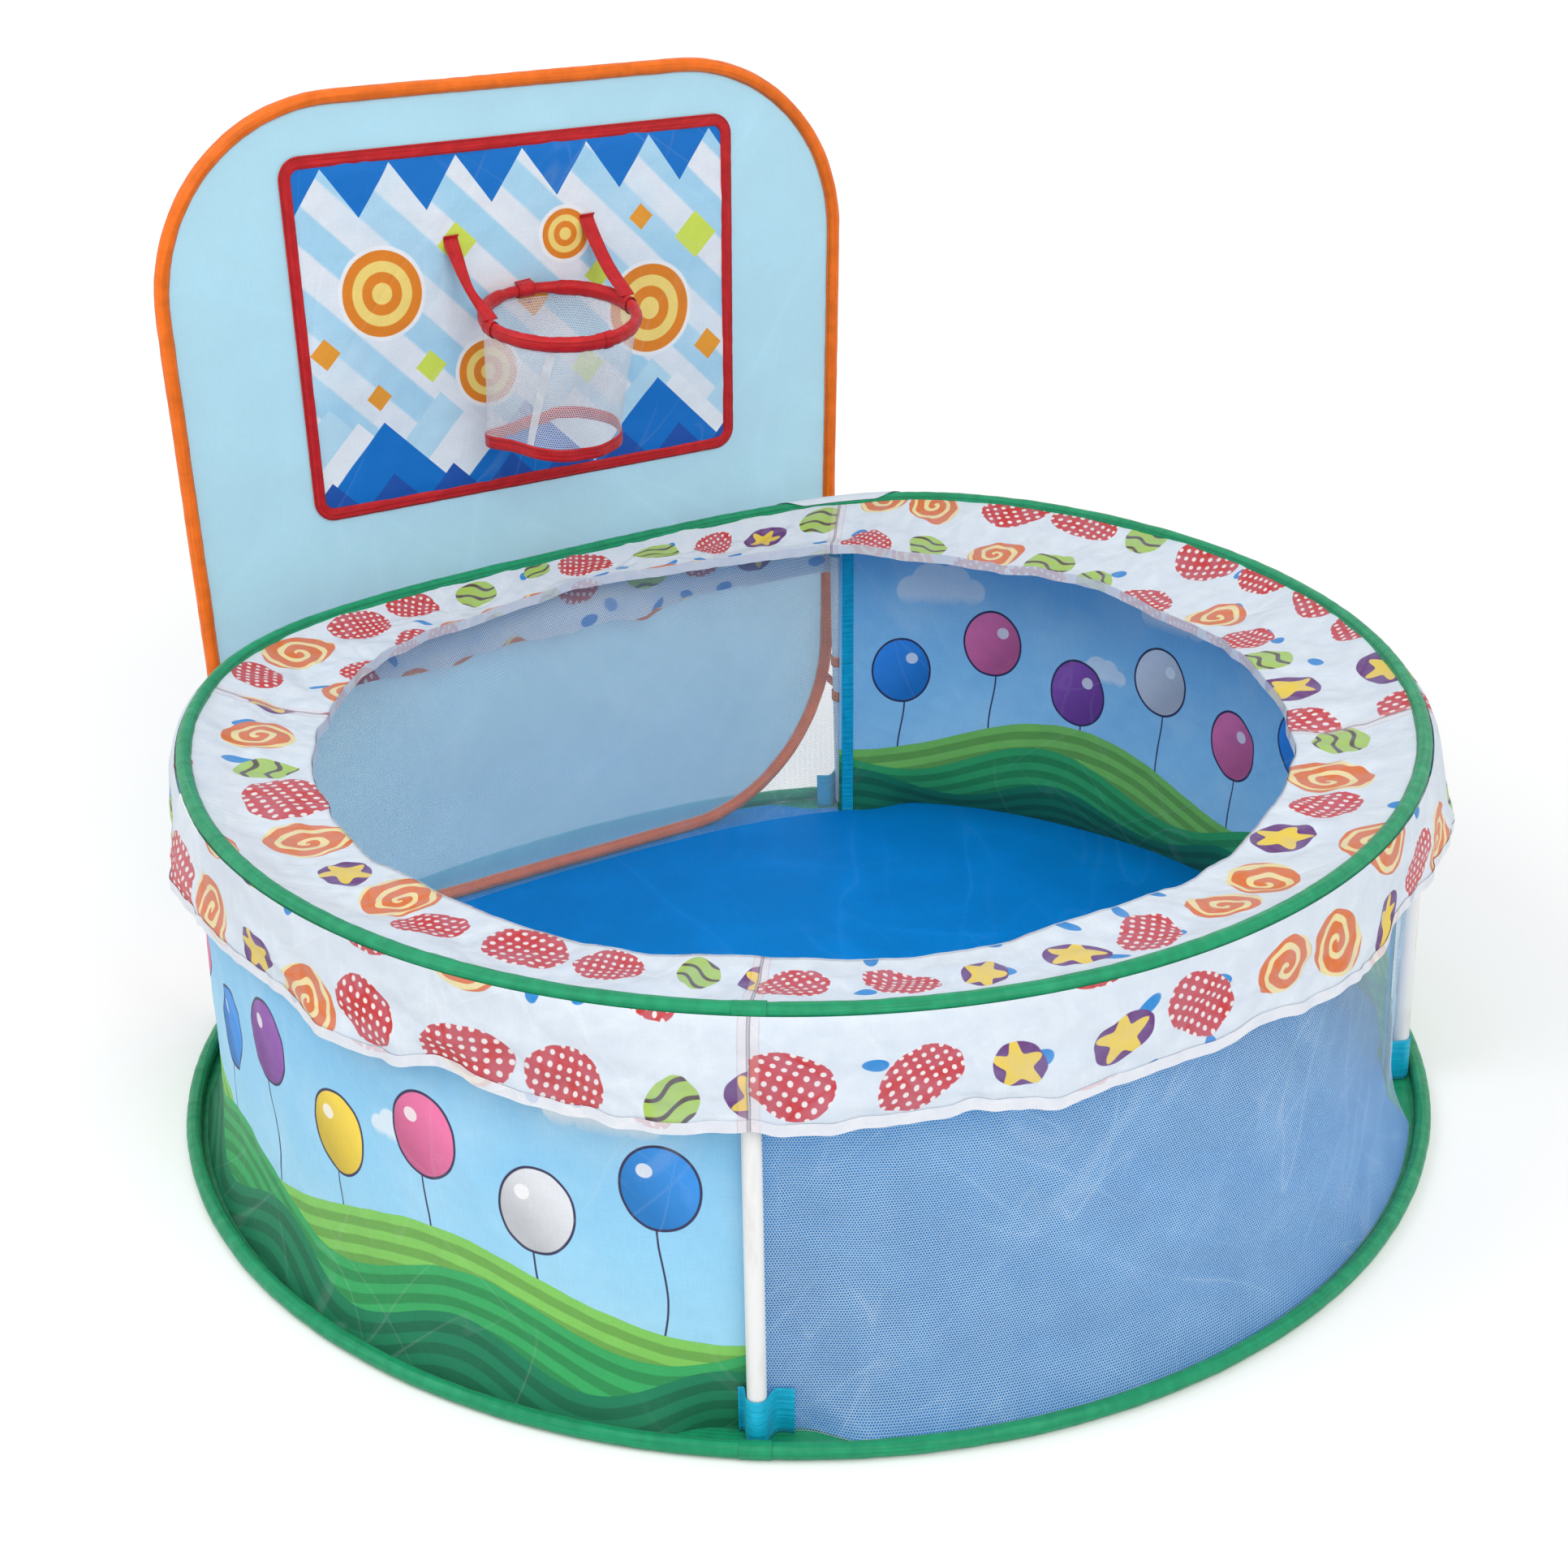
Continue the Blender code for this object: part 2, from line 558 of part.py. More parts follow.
def poles():
    for corner, azimuth in POLE_AZIMUTHS.items():
        foot, outward = hoop_point(azimuth, BASE_HOOP, POLE_FOOT_INSET, POLE_PIVOT_HEIGHT)
        head = hoop_point(azimuth, TOP_HOOP, POLE_HEAD_INSET, POLE_TOP_HEIGHT)[0]
        pole(corner, foot, head)
        foot_pocket(corner, foot, head, outward)
        top_pocket(corner, foot, head)


# ---- Skirt and valance --------------------------------------------------------
def skirt_point(azimuth, share, extra_drop=0.0):
    """A point on the skirt: share is 0 at the hoop and 1 at the wavy lower edge."""
    nearness = max(math.cos(azimuth - pole_at) for pole_at in POLE_AZIMUTHS.values())
    bulge = SKIRT_BULGE * nearness ** SKIRT_BULGE_SHARPNESS * share ** SKIRT_BULGE_RISE
    flare = SKIRT_HANG * share + bulge
    fold = SKIRT_FOLD_DEPTH * share * math.sin(SKIRT_FOLDS * azimuth)
    rise = SKIRT_FOLD_DEPTH * share * math.cos(SKIRT_FOLDS * azimuth + 1.0)
    height = TOP_HEIGHT - SKIRT_DROP * share + rise - extra_drop
    return hoop_point(azimuth, TOP_HOOP, -(SKIRT_START + flare + fold), height)[0]


def skirt():
    """Printed cloth that hangs in soft folds outside the walls, and its sewn hem."""
    azimuths = loop_azimuths()
    rows = [[skirt_point(a, share) for a in azimuths] for share in (0.0, 0.3, 0.65, 1.0)]
    cloth("skirt", rows, WHITE_CLOTH, closed=True)
    top = 2 * CLEARANCE
    hem = [[skirt_point(a, 1.0, drop) for a in azimuths] for drop in (top, top + SKIRT_HEM)]
    cloth("skirt_hem", hem, WHITE_CLOTH, closed=True)


def valance_point(azimuth, share, extra_drop=0.0):
    """A point on the valance: share is 0 at the hoop and 1 round the pool's mouth."""
    start = 2 * SLEEVE_RADIUS + SKIRT_START
    outer = hoop_point(azimuth, TOP_HOOP, start, TOP_HEIGHT)[0]
    inner = hoop_point(azimuth, MOUTH, 0.0, TOP_HEIGHT - VALANCE_DROP)[0]
    sag = VALANCE_SAG * math.sin(math.pi * share)
    wave = VALANCE_SAG / 2 * share * math.sin(VALANCE_FOLDS * azimuth)
    return lerp(outer, inner, share) + UP * (wave - sag - extra_drop)


def valance():
    """Printed cloth that slopes in from the top hoop to the pool's hemmed mouth."""
    azimuths = loop_azimuths()
    rows = [[valance_point(a, share) for a in azimuths] for share in (0.0, 0.5, 1.0)]
    cloth("valance", rows, WHITE_CLOTH, closed=True)
    top = CLOTH
    hem = [[valance_point(a, 1.0, drop) for a in azimuths] for drop in (top, top + VALANCE_HEM)]
    cloth("valance_hem", hem, WHITE_CLOTH, closed=True)


# ---- Backboard, in its own frame: X across, Y away from the pool, Z up ---------
BOARD_BOTTOM = SEAM_EDGE + CLEARANCE
BOARD_PIVOT_HEIGHT = 2 * SLEEVE_RADIUS + BOARD_PIVOT_RISE
BOARD_TURN = Matrix.Rotation(BOARD_YAW, 4, "Z")
BOARD_PLACE = BOARD_TURN @ Vector((BOARD_SHIFT, BOARD_DISTANCE, BOARD_PIVOT_HEIGHT))
PRINT_FACE = CLOTH / 2 + CLEARANCE + THIN_CLOTH    # the target stands this far forward
RIM_FORWARD = PRINT_FACE + RIM_TAB_ROOM + RIM_SLEEVE_RADIUS
RIM_PLACE = Vector((0.0, -RIM_FORWARD, RIM_HEIGHT - BOARD_PIVOT_HEIGHT))


def rounded_outline(width, low, high, corner, steps):
    """A rounded rectangle as (across, height) pairs, from the foot's right end round."""
    points = []
    half = width / 2 - corner
    for across, level, start in (
        (half, low + corner, -90), (half, high - corner, 0),
        (-half, high - corner, 90), (-half, low + corner, 180),
    ):
        for i in range(steps + 1):
            turn = math.radians(start + 90 * i / steps)
            points.append((across + corner * math.cos(turn), level + corner * math.sin(turn)))
    return points


def board_point(across, height):
    """The frame's sprung shape: its foot is narrower and its top droops to one side."""
    share = height / BOARD_HEIGHT
    narrowed = across * (1 - 2 * BOARD_NARROWING / BOARD_WIDTH * (1 - share))
    droop = 1 - 2 * BOARD_DROOP * across / BOARD_WIDTH
    level = BOARD_BOTTOM + height * droop
    return Vector((narrowed, 0.0, level - BOARD_PIVOT_HEIGHT))


def outline_frames(points):
    """Stations along a flat outline in the board's plane: place, outward, backward."""
    frames = []
    for i, point in enumerate(points):
        along = (points[(i + 1) % len(points)] - points[i - 1]).normalized()
        frames.append((point, BACKWARD.cross(along).normalized(), BACKWARD))
    return frames


def backboard(holder):
    """Sprung frame in a satin binding, which carries one stretched cloth panel."""
    width, corner = BOARD_WIDTH - 2 * SLEEVE_RADIUS, BOARD_CORNER - SLEEVE_RADIUS
    low, high = SLEEVE_RADIUS, BOARD_HEIGHT - SLEEVE_RADIUS
    flat = rounded_outline(width, low, high, corner, CORNER_STEPS)
    frames = outline_frames([board_point(*pair) for pair in flat])
    wire = sprung(frames, SLEEVE_BORE, FERRULE_REACH)
    wire_loop("board_wire", wire, WIRE_RADIUS, holder)
    ferrule("board_ferrule", wire[-1], wire[0], WIRE_RADIUS, holder)
    foot_middle = lerp(frames[-1][0], frames[0][0], 0.5)
    down = -UP
    start = (foot_middle + ACROSS * CLEARANCE, down, BACKWARD)
    end = (foot_middle - ACROSS * CLEARANCE, down, BACKWARD)
    outside = circle_section(SLEEVE_RADIUS, SLEEVE_SIDES)
    bore = circle_section(SLEEVE_BORE, HEXAGON)
    sleeve("board_binding", [start, *frames, end], outside, bore, ORANGE_SATIN, holder)
    reach = SLEEVE_RADIUS + CLEARANCE
    front = BACKWARD * CLOTH / 2
    edge = [point - outward * reach - front for point, outward, _ in frames]
    flat_sheet("board_panel", edge, BACKWARD * CLOTH, PANEL_BLUE, holder)


def target(holder):
    """Printed cloth sewn to the panel behind the net hoop, with a tape round its edge."""
    def outline(inset, depth):
        width, corner = TARGET_WIDTH - 2 * inset, TARGET_CORNER - inset
        low, high = TARGET_BOTTOM + inset, TARGET_BOTTOM + TARGET_HEIGHT - inset
        flat = rounded_outline(width, low, high, corner, TARGET_CORNER_STEPS)
        return [board_point(*pair) + BACKWARD * depth for pair in flat]

    flat_sheet(
        "target_print", outline(0.0, -PRINT_FACE), BACKWARD * THIN_CLOTH, TARGET_PRINT, holder,
    )
    depth = -(PRINT_FACE + CLEARANCE + THIN_CLOTH / 2)
    bm = bmesh.new()
    frames = outline_frames(outline(TARGET_TAPE / 2, depth))
    bar(bm, frames, tape_section(TARGET_TAPE, THIN_CLOTH), closed=True)
    place_solid("target_tape", bm, RED_TAPE, holder)


def frame_side(side, height):
    """Where the frame's wire passes a height, on its right (1) or left (-1) side."""
    corner = BOARD_CORNER - SLEEVE_RADIUS
    below = max(0.0, BOARD_CORNER - height)
    across = BOARD_WIDTH / 2 - BOARD_CORNER + math.sqrt(corner ** 2 - below ** 2)
    place_on_board = board_point(side * across, height - BOARD_BOTTOM)
    return BOARD_PLACE + BOARD_TURN @ place_on_board


def tie_path(side, start, centre):
    """Round the frame's side, straight across to a pole, and round the pole."""
    way = centre - start
    near, far = SLEEVE_RADIUS + TIE_ROOM, POLE_RADIUS + 2 * CLEARANCE + THIN_CLOTH / 2
    lean = math.acos((near - far) / way.length)
    bearing = math.atan2(way.y, way.x) + side * lean

    def arc(middle, reach, turn):
        return Vector((
            middle.x + reach * math.cos(turn), middle.y + reach * math.sin(turn), centre.z,
        ))

    path = [arc(start, near, bearing + side * TIE_LEAD), arc(start, near, bearing)]
    for i in range(TIE_STEPS + 1):
        path.append(arc(centre, far, bearing - side * TIE_WRAP * i / TIE_STEPS))
    return path


def board_ties(side, corner):
    """Two cloth ties, one above the other, from the frame's side round the rear pole."""
    azimuth = POLE_AZIMUTHS[corner]
    foot = hoop_point(azimuth, BASE_HOOP, POLE_FOOT_INSET, POLE_PIVOT_HEIGHT)[0]
    head = hoop_point(azimuth, TOP_HOOP, POLE_HEAD_INSET, POLE_TOP_HEIGHT)[0]
    for level, height in TIE_HEIGHTS.items():
        centre = lerp(foot, head, (height - foot.z) / (head.z - foot.z))
        path = tie_path(side, frame_side(side, height), centre)
        bm = bmesh.new()
        tape(bm, path, TIE_WIDTH, THIN_CLOTH, (head - foot).normalized())
        place_solid("board_tie_" + corner + "_" + level, bm, ORANGE_SATIN)


# ---- Net hoop, in a frame on its hinge at the board ----------------------------
RIM_FRONT = -BACKWARD * math.cos(RIM_DIP) - UP * math.sin(RIM_DIP)
RIM_UP = -BACKWARD * math.sin(RIM_DIP) + UP * math.cos(RIM_DIP)


def rim_point(angle, radius=RIM_RADIUS, drop=0.0):
    """A point on the dipped ring: angle 0 is its right side and 90 degrees its front."""
    middle = RIM_FRONT * RIM_RADIUS - UP * drop
    return middle + (ACROSS * math.cos(angle) + RIM_FRONT * math.sin(angle)) * radius


def net_hoop(holder):
    """Sprung wire ring in a tape sleeve, whose seam is at the front."""
    def frame(angle):
        outward = ACROSS * math.cos(angle) + RIM_FRONT * math.sin(angle)
        return rim_point(angle), outward, RIM_UP

    step = FULL_TURN / RIM_STEPS
    frames = [frame(QUARTER + step * (i + 0.5)) for i in range(RIM_STEPS)]
    bore = RIM_SLEEVE_RADIUS - RIM_SLEEVE_WALL
    wire = sprung(frames, bore, RIM_WIRE_RADIUS)
    wire_loop("rim_wire", wire, RIM_WIRE_RADIUS, holder)
    gap = CLEARANCE / RIM_RADIUS
    seamed = [frame(QUARTER + gap), *frames, frame(QUARTER + FULL_TURN - gap)]
    outside = circle_section(RIM_SLEEVE_RADIUS, SLEEVE_SIDES)
    sleeve("rim_sleeve", seamed, outside, circle_section(bore, HEXAGON), RED_TAPE, holder)


def net_point(angle, share, extra_drop=0.0):
    """A point on the net: share is 0 under the hoop and 1 at its narrower foot."""
    fold = NET_FOLD_DEPTH * share * math.sin(NET_FOLDS * angle)
    radius = RIM_RADIUS * lerp(1.0, NET_TAPER, share) + fold
    hang = RIM_SLEEVE_RADIUS + 2 * CLEARANCE
    level = RIM_FRONT.z * RIM_RADIUS - hang - extra_drop - NET_LENGTH
    if math.sin(angle) < -math.cos(NET_NOTCH):
        hang += RIM_TAB_ROOM + THIN_CLOTH + CLEARANCE
    point = rim_point(angle, radius, hang + extra_drop)
    point.z = lerp(point.z, level, share)
    return point


def net(holder):
    """Mesh sleeve that hangs from the hoop in soft folds, and the tape at its foot."""
    angles = [FULL_TURN * i / RIM_STEPS for i in range(RIM_STEPS)]
    rows = [[net_point(a, share) for a in angles] for share in (0.0, 0.35, 0.7, 1.0)]
    cloth("net", rows, WHITE_MESH, THIN_CLOTH, holder, closed=True)
    top = 2 * CLEARANCE
    hem = [[net_point(a, 1.0, drop) for a in angles] for drop in (top, top + NET_HEM)]
    cloth("net_hem", hem, RED_TAPE, THIN_CLOTH, holder, closed=True)


def straps(holder):
    """Two tapes sewn to the board that hold the hoop level from above it."""
    lift = RIM_SLEEVE_RADIUS + CLEARANCE + THIN_CLOTH
    face = -PRINT_FACE - CLEARANCE - THIN_CLOTH / 2
    for name, angle in (("right", 0.0), ("left", math.pi)):
        low = RIM_PLACE + rim_point(angle) + RIM_UP * lift
        seam = Vector((low.x, face, low.z + STRAP_RISE))
        path = [low, lerp(low, seam, 0.5), seam, seam + UP * STRAP_PATCH]
        bm = bmesh.new()
        tape(bm, path, STRAP_WIDTH, THIN_CLOTH, ACROSS)
        place_solid("rim_strap_" + name, bm, RED_TAPE, holder)


def rim_tab(holder):
    """Tape loop sewn to the board, in which the hoop's rear turns."""
    reach = RIM_SLEEVE_RADIUS + RIM_TAB_ROOM + THIN_CLOTH / 2
    back = RIM_SLEEVE_RADIUS + RIM_TAB_ROOM - CLEARANCE - THIN_CLOTH / 2
    path = wrap_path(RIM_PLACE, -BACKWARD, UP, reach, back, (RIM_TAB_FLAP, RIM_TAB_FLAP))
    bm = bmesh.new()
    tape(bm, path, RIM_TAB_WIDTH, THIN_CLOTH, ACROSS)
    place_solid("rim_tab", bm, RED_TAPE, holder)


base_hoop()
top_hoop()
floor_sheet()
walls()
poles()
skirt()
valance()
board_pivot = pivot("board_pivot", BOARD_PLACE, (0.0, 0.0, BOARD_YAW))
backboard(board_pivot)
target(board_pivot)
board_ties(1, "rear_right")
board_ties(-1, "rear_left")
rim_tab(board_pivot)
straps(board_pivot)
rim_pivot = pivot("rim_pivot", RIM_PLACE, parent=board_pivot)
net_hoop(rim_pivot)
net(rim_pivot)
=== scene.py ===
"""A child's pop-up ball pool with a throwing board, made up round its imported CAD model."""
import math

import bpy
import numpy as np
from mathutils import Matrix, Vector, noise


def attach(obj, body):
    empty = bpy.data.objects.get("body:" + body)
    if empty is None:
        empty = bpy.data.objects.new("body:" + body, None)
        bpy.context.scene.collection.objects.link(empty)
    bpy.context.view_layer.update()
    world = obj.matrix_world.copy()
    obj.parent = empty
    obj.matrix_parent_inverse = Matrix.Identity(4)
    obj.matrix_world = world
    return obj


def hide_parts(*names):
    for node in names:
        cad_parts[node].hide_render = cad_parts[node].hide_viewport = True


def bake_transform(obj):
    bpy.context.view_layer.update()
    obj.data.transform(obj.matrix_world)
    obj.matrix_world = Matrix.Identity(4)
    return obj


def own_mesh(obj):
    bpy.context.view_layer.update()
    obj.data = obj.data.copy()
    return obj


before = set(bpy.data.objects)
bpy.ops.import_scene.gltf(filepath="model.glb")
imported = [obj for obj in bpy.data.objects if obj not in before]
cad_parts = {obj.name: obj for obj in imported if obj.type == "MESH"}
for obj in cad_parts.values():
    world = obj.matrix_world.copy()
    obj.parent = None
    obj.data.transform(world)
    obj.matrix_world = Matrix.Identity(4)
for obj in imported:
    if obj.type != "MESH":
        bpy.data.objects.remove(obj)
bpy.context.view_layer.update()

# ---- The view -----------------------------------------------------------------
# The pool was photographed from above its front left, from about 2.7 metres away,
# with a lens of 62 mm on a 36 mm sensor that was turned a touch clockwise.
EYE = Vector((-1.4805, -1.7201, 1.4101))
LOOK = Vector((0.58075, 0.68585, -0.43856)).normalized()
ROLL = -0.016
LENS = 61.9

level = LOOK.cross(Vector((0, 0, 1))).normalized()
rightward = math.cos(ROLL) * level + math.sin(ROLL) * level.cross(LOOK)
camera_axes = Matrix((rightward, rightward.cross(LOOK), -LOOK)).transposed()
camera = bpy.data.objects.new("photograph_view", bpy.data.cameras.new("photograph_view"))
camera.data.lens = LENS
camera.data.sensor_width = 36.0
camera.matrix_world = Matrix.Translation(EYE) @ camera_axes.to_4x4()
bpy.context.collection.objects.link(camera)
bpy.context.scene.camera = camera
bpy.context.scene.view_settings.view_transform = "Standard"


# ---- Studio floor, backdrop and lamps -----------------------------------------
# A white sweep under plain soft light: two large lamps, one high on the left and one
# high in front, with the rest from the white room itself.
def feed(tree, socket, value):
    """Give a socket another node's output, or a plain number, colour or vector."""
    if isinstance(value, bpy.types.NodeSocket):
        tree.links.new(value, socket)
    elif socket.type == "RGBA" and len(value) == 3:
        socket.default_value = (*value, 1.0)
    else:
        socket.default_value = value


def node(tree, kind, settings=None, **inputs):
    """Add a shader node; its inputs are named with _ for a space."""
    made = tree.nodes.new("ShaderNode" + kind)
    for key, value in (settings or {}).items():
        setattr(made, key, value)
    for key, value in inputs.items():
        feed(tree, made.inputs[key.replace("_", " ")], value)
    return made


def calc(tree, operation, *values, clamp=False):
    """One step of arithmetic on numbers or other nodes' outputs."""
    made = tree.nodes.new("ShaderNodeMath")
    made.operation = operation
    made.use_clamp = clamp
    for socket, value in zip(made.inputs, values):
        feed(tree, socket, value)
    return made.outputs[0]


def ramp(tree, value, low, high, to_low=0.0, to_high=1.0):
    """A value carried from one range to another, and kept inside it."""
    return node(
        tree, "MapRange", Value=value, From_Min=low, From_Max=high, To_Min=to_low, To_Max=to_high,
    ).outputs[0]


def studio():
    """White to the camera and in reflections, but only plain light on the object."""
    lamp_level, white = 0.70, 1.0
    world = bpy.data.worlds.new("studio")
    bpy.context.scene.world = world
    world.use_nodes = True
    tree = world.node_tree
    rays = node(tree, "LightPath").outputs
    seen = calc(tree, "MAXIMUM", rays["Is Camera Ray"], rays["Is Glossy Ray"])
    seen = calc(tree, "MAXIMUM", seen, rays["Is Transmission Ray"])
    strength = calc(tree, "MULTIPLY_ADD", seen, white - lamp_level, lamp_level)
    background = tree.nodes["Background"]
    background.inputs["Color"].default_value = (1, 1, 1, 1)
    tree.links.new(strength, background.inputs["Strength"])

    reach, below = 60.0, -0.0006
    mesh = bpy.data.meshes.new("studio_floor")
    corners = [(x * reach, y * reach, below) for x, y in ((-1, -1), (1, -1), (1, 1), (-1, 1))]
    mesh.from_pydata(corners, [], [(0, 1, 2, 3)])
    floor = bpy.data.objects.new("studio_floor", mesh)
    bpy.context.collection.objects.link(floor)
    sweep = bpy.data.materials.new("studio_floor")
    sweep.use_nodes = True
    tree = sweep.node_tree
    shader = tree.nodes["Principled BSDF"]
    shader.inputs["Base Color"].default_value = (0.93, 0.93, 0.93, 1)
    shader.inputs["Roughness"].default_value = 0.9
    shader.inputs["Specular IOR Level"].default_value = 0.1
    shader.inputs["Emission Color"].default_value = (1, 1, 1, 1)
    rays = node(tree, "LightPath").outputs
    seen = calc(tree, "MAXIMUM", rays["Is Camera Ray"], rays["Is Transmission Ray"])
    place = node(tree, "TexCoord").outputs["Object"]
    away = node(tree, "VectorMath", {"operation": "LENGTH"}, Vector=place).outputs["Value"]
    lift = ramp(tree, away, 1.0, 3.5, 0.13, 0.36)
    tree.links.new(calc(tree, "MULTIPLY", seen, lift), shader.inputs["Emission Strength"])
    mesh.materials.append(sweep)

    for name, place, width, power in (
        ("key_lamp", (-2.6, 0.9, 3.4), 2.2, 44.0),
        ("front_lamp", (-1.0, -3.0, 3.1), 2.2, 60.0),
    ):
        lamp = bpy.data.lights.new(name, "AREA")
        lamp.size = width
        lamp.energy = power
        held = bpy.data.objects.new(name, lamp)
        held.location = place
        held.rotation_euler = (Vector((0, 0, 0.2)) - held.location).to_track_quat("-Z", "Y").to_euler()
        bpy.context.collection.objects.link(held)


studio()


# ---- Base hoop ----------------------------------------------------------------
# A spring steel wire hoop in a green satin binding, lying on the ground. A flat seam
# edge of the same satin runs in from it under the walls; its two ends lap at a pole.
BOARD_YAW = math.radians(-9)
BOARD_AZIMUTH = math.pi / 2 + BOARD_YAW
SQUARENESS = 10
SEAM_AZIMUTH = math.radians(-135)
BINDING_RADIUS = 0.0075
BASE_RADIUS = 0.600
BASE_REAR = 0.550
SEAM_EDGE = 0.0018
SEAM_EDGE_INSET = 0.0418
STITCH = 0.0036
STEEL = (0.45, 0.45, 0.46)
GREEN = (0.004, 0.290, 0.125)


def flattened(radius, rear):
    """A round hoop whose side towards the board comes no further than rear."""
    return radius, (rear ** -SQUARENESS - radius ** -SQUARENESS) ** (-1 / SQUARENESS)


def hoop_line(hoop, azimuths, inset=0.0, height=0.0):
    """Points along a hoop's outline, moved inward by inset, and the way outward there."""
    radius, flat = hoop

    def outline(turns):
        towards = np.maximum(0.0, np.cos(turns - BOARD_AZIMUTH))
        reach = (radius ** -SQUARENESS + (towards / flat) ** SQUARENESS) ** (-1 / SQUARENESS)
        return np.stack([reach * np.cos(turns), reach * np.sin(turns), 0 * turns], axis=-1)

    azimuths = np.asarray(azimuths, float)
    along = outline(azimuths + 0.01) - outline(azimuths - 0.01)
    along /= np.linalg.norm(along, axis=-1, keepdims=True)
    outward = np.stack([along[..., 1], -along[..., 0], 0 * azimuths], axis=-1)
    inset = np.asarray(inset, float)[..., None]
    points = outline(azimuths) - outward * inset
    points[..., 2] += height
    return points, outward


def sew(name, grid, round_rows=False, round_columns=False, plan=None):
    """A smooth sheet or tube through a grid of points, its cloth laid flat as metres of UV.

    plan, if given, is where each point of the grid lies on the flat cloth."""
    rows, columns = grid.shape[:2]
    full = np.concatenate([grid, grid[:1]]) if round_rows else grid
    full = np.concatenate([full, full[:, :1]], axis=1) if round_columns else full
    u = np.append(0, np.cumsum(np.linalg.norm(np.diff(full, axis=1), axis=2).mean(axis=0)))
    v = np.append(0, np.cumsum(np.linalg.norm(np.diff(full, axis=0), axis=2).mean(axis=1)))
    r, c = (a.ravel() for a in np.meshgrid(range(len(v) - 1), range(len(u) - 1), indexing="ij"))
    faces, laid = [], []
    for down, along in ((0, 0), (1, 0), (1, 1), (0, 1)):
        faces.append((r + down) % rows * columns + (c + along) % columns)
        if plan is None:
            laid.append(np.stack([u[c + along], v[r + down]], axis=-1))
        else:
            laid.append(plan[r + down, c + along])
    mesh = bpy.data.meshes.new(name)
    mesh.from_pydata(grid.reshape(-1, 3).tolist(), [], np.stack(faces, axis=-1).tolist())
    mesh.uv_layers.new(name="cloth").data.foreach_set("uv", np.stack(laid, axis=1).ravel())
    mesh.shade_smooth()
    piece = bpy.data.objects.new(name, mesh)
    bpy.context.collection.objects.link(piece)
    return piece


def rumple(points, seed=0.0):
    """Smooth noise from -1 to 1 at each point, with waves about one unit long."""
    flat = (np.asarray(points, float) + seed).reshape(-1, 3).tolist()
    return np.array([noise.noise(p) for p in flat]).reshape(np.shape(points)[:-1])


def bind(name, path, out, up, radius, pucker=0.05, gather=0.012, sides=14, ends=False, tall=1.0):
    """A cloth sleeve round a sprung wire, with small puckers across it.

    It closes on itself, or stays open at both ends where ends is true. It is tall
    times as high along up as it is thick."""
    steps = np.linalg.norm(np.diff(path, axis=0), axis=1)
    length = np.append(0, np.cumsum(steps)) / gather
    rings = []
    for turn in np.linspace(0, 2 * math.pi, sides, endpoint=False):
        c, s = math.cos(turn), math.sin(turn)
        grain = np.stack([length, 0 * length + 0.6 * c, 0 * length + 0.6 * s], axis=-1)
        coarse = rumple(grain * (0.22, 1, 1), 4.3)
        swell = radius * (1 + pucker * (rumple(grain) + coarse))
        high = np.broadcast_to(s * tall, len(path))[:, None]
        rings.append(path + (out * c + up * high) * swell[:, None])
    return sew(name, np.array(rings), True, not ends)


def dress(piece, body, finish, *nodes):
    """A finished piece takes its material, stands for its CAD nodes and rides its body."""
    piece.data.materials.append(finish)
    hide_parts(*nodes)
    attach(piece, body)
    return piece


def group(name, inputs, outputs):
    """A shader node group: its tree, its given values and its results."""
    tree = bpy.data.node_groups.new(name, "ShaderNodeTree")
    for label, kind, value in inputs:
        socket = tree.interface.new_socket(label, in_out="INPUT", socket_type="NodeSocket" + kind)
        if value is not None:
            socket.default_value = value
    for label, kind in outputs:
        tree.interface.new_socket(label, in_out="OUTPUT", socket_type="NodeSocket" + kind)
    return tree, tree.nodes.new("NodeGroupInput").outputs, tree.nodes.new("NodeGroupOutput").inputs


def use(tree, made_group, **inputs):
    """Place a node group in a material, or in another group, with its own values."""
    placed = tree.nodes.new("ShaderNodeGroup")
    placed.node_tree = made_group
    for key, value in inputs.items():
        feed(tree, placed.inputs[key.replace("_", " ")], value)
    return placed.outputs


def mixed(tree, mask, under, over):
    """One colour laid over another where the mask is 1."""
    made = tree.nodes.new("ShaderNodeMix")
    made.data_type = "RGBA"
    feed(tree, made.inputs[0], mask)
    feed(tree, made.inputs[6], under)
    feed(tree, made.inputs[7], over)
    return made.outputs[2]


def stretched(tree, vector, x, y, z=1.0):
    made = node(tree, "VectorMath", {"operation": "MULTIPLY"})
    feed(tree, made.inputs[0], vector)
    made.inputs[1].default_value = (x, y, z)
    return made.outputs[0]


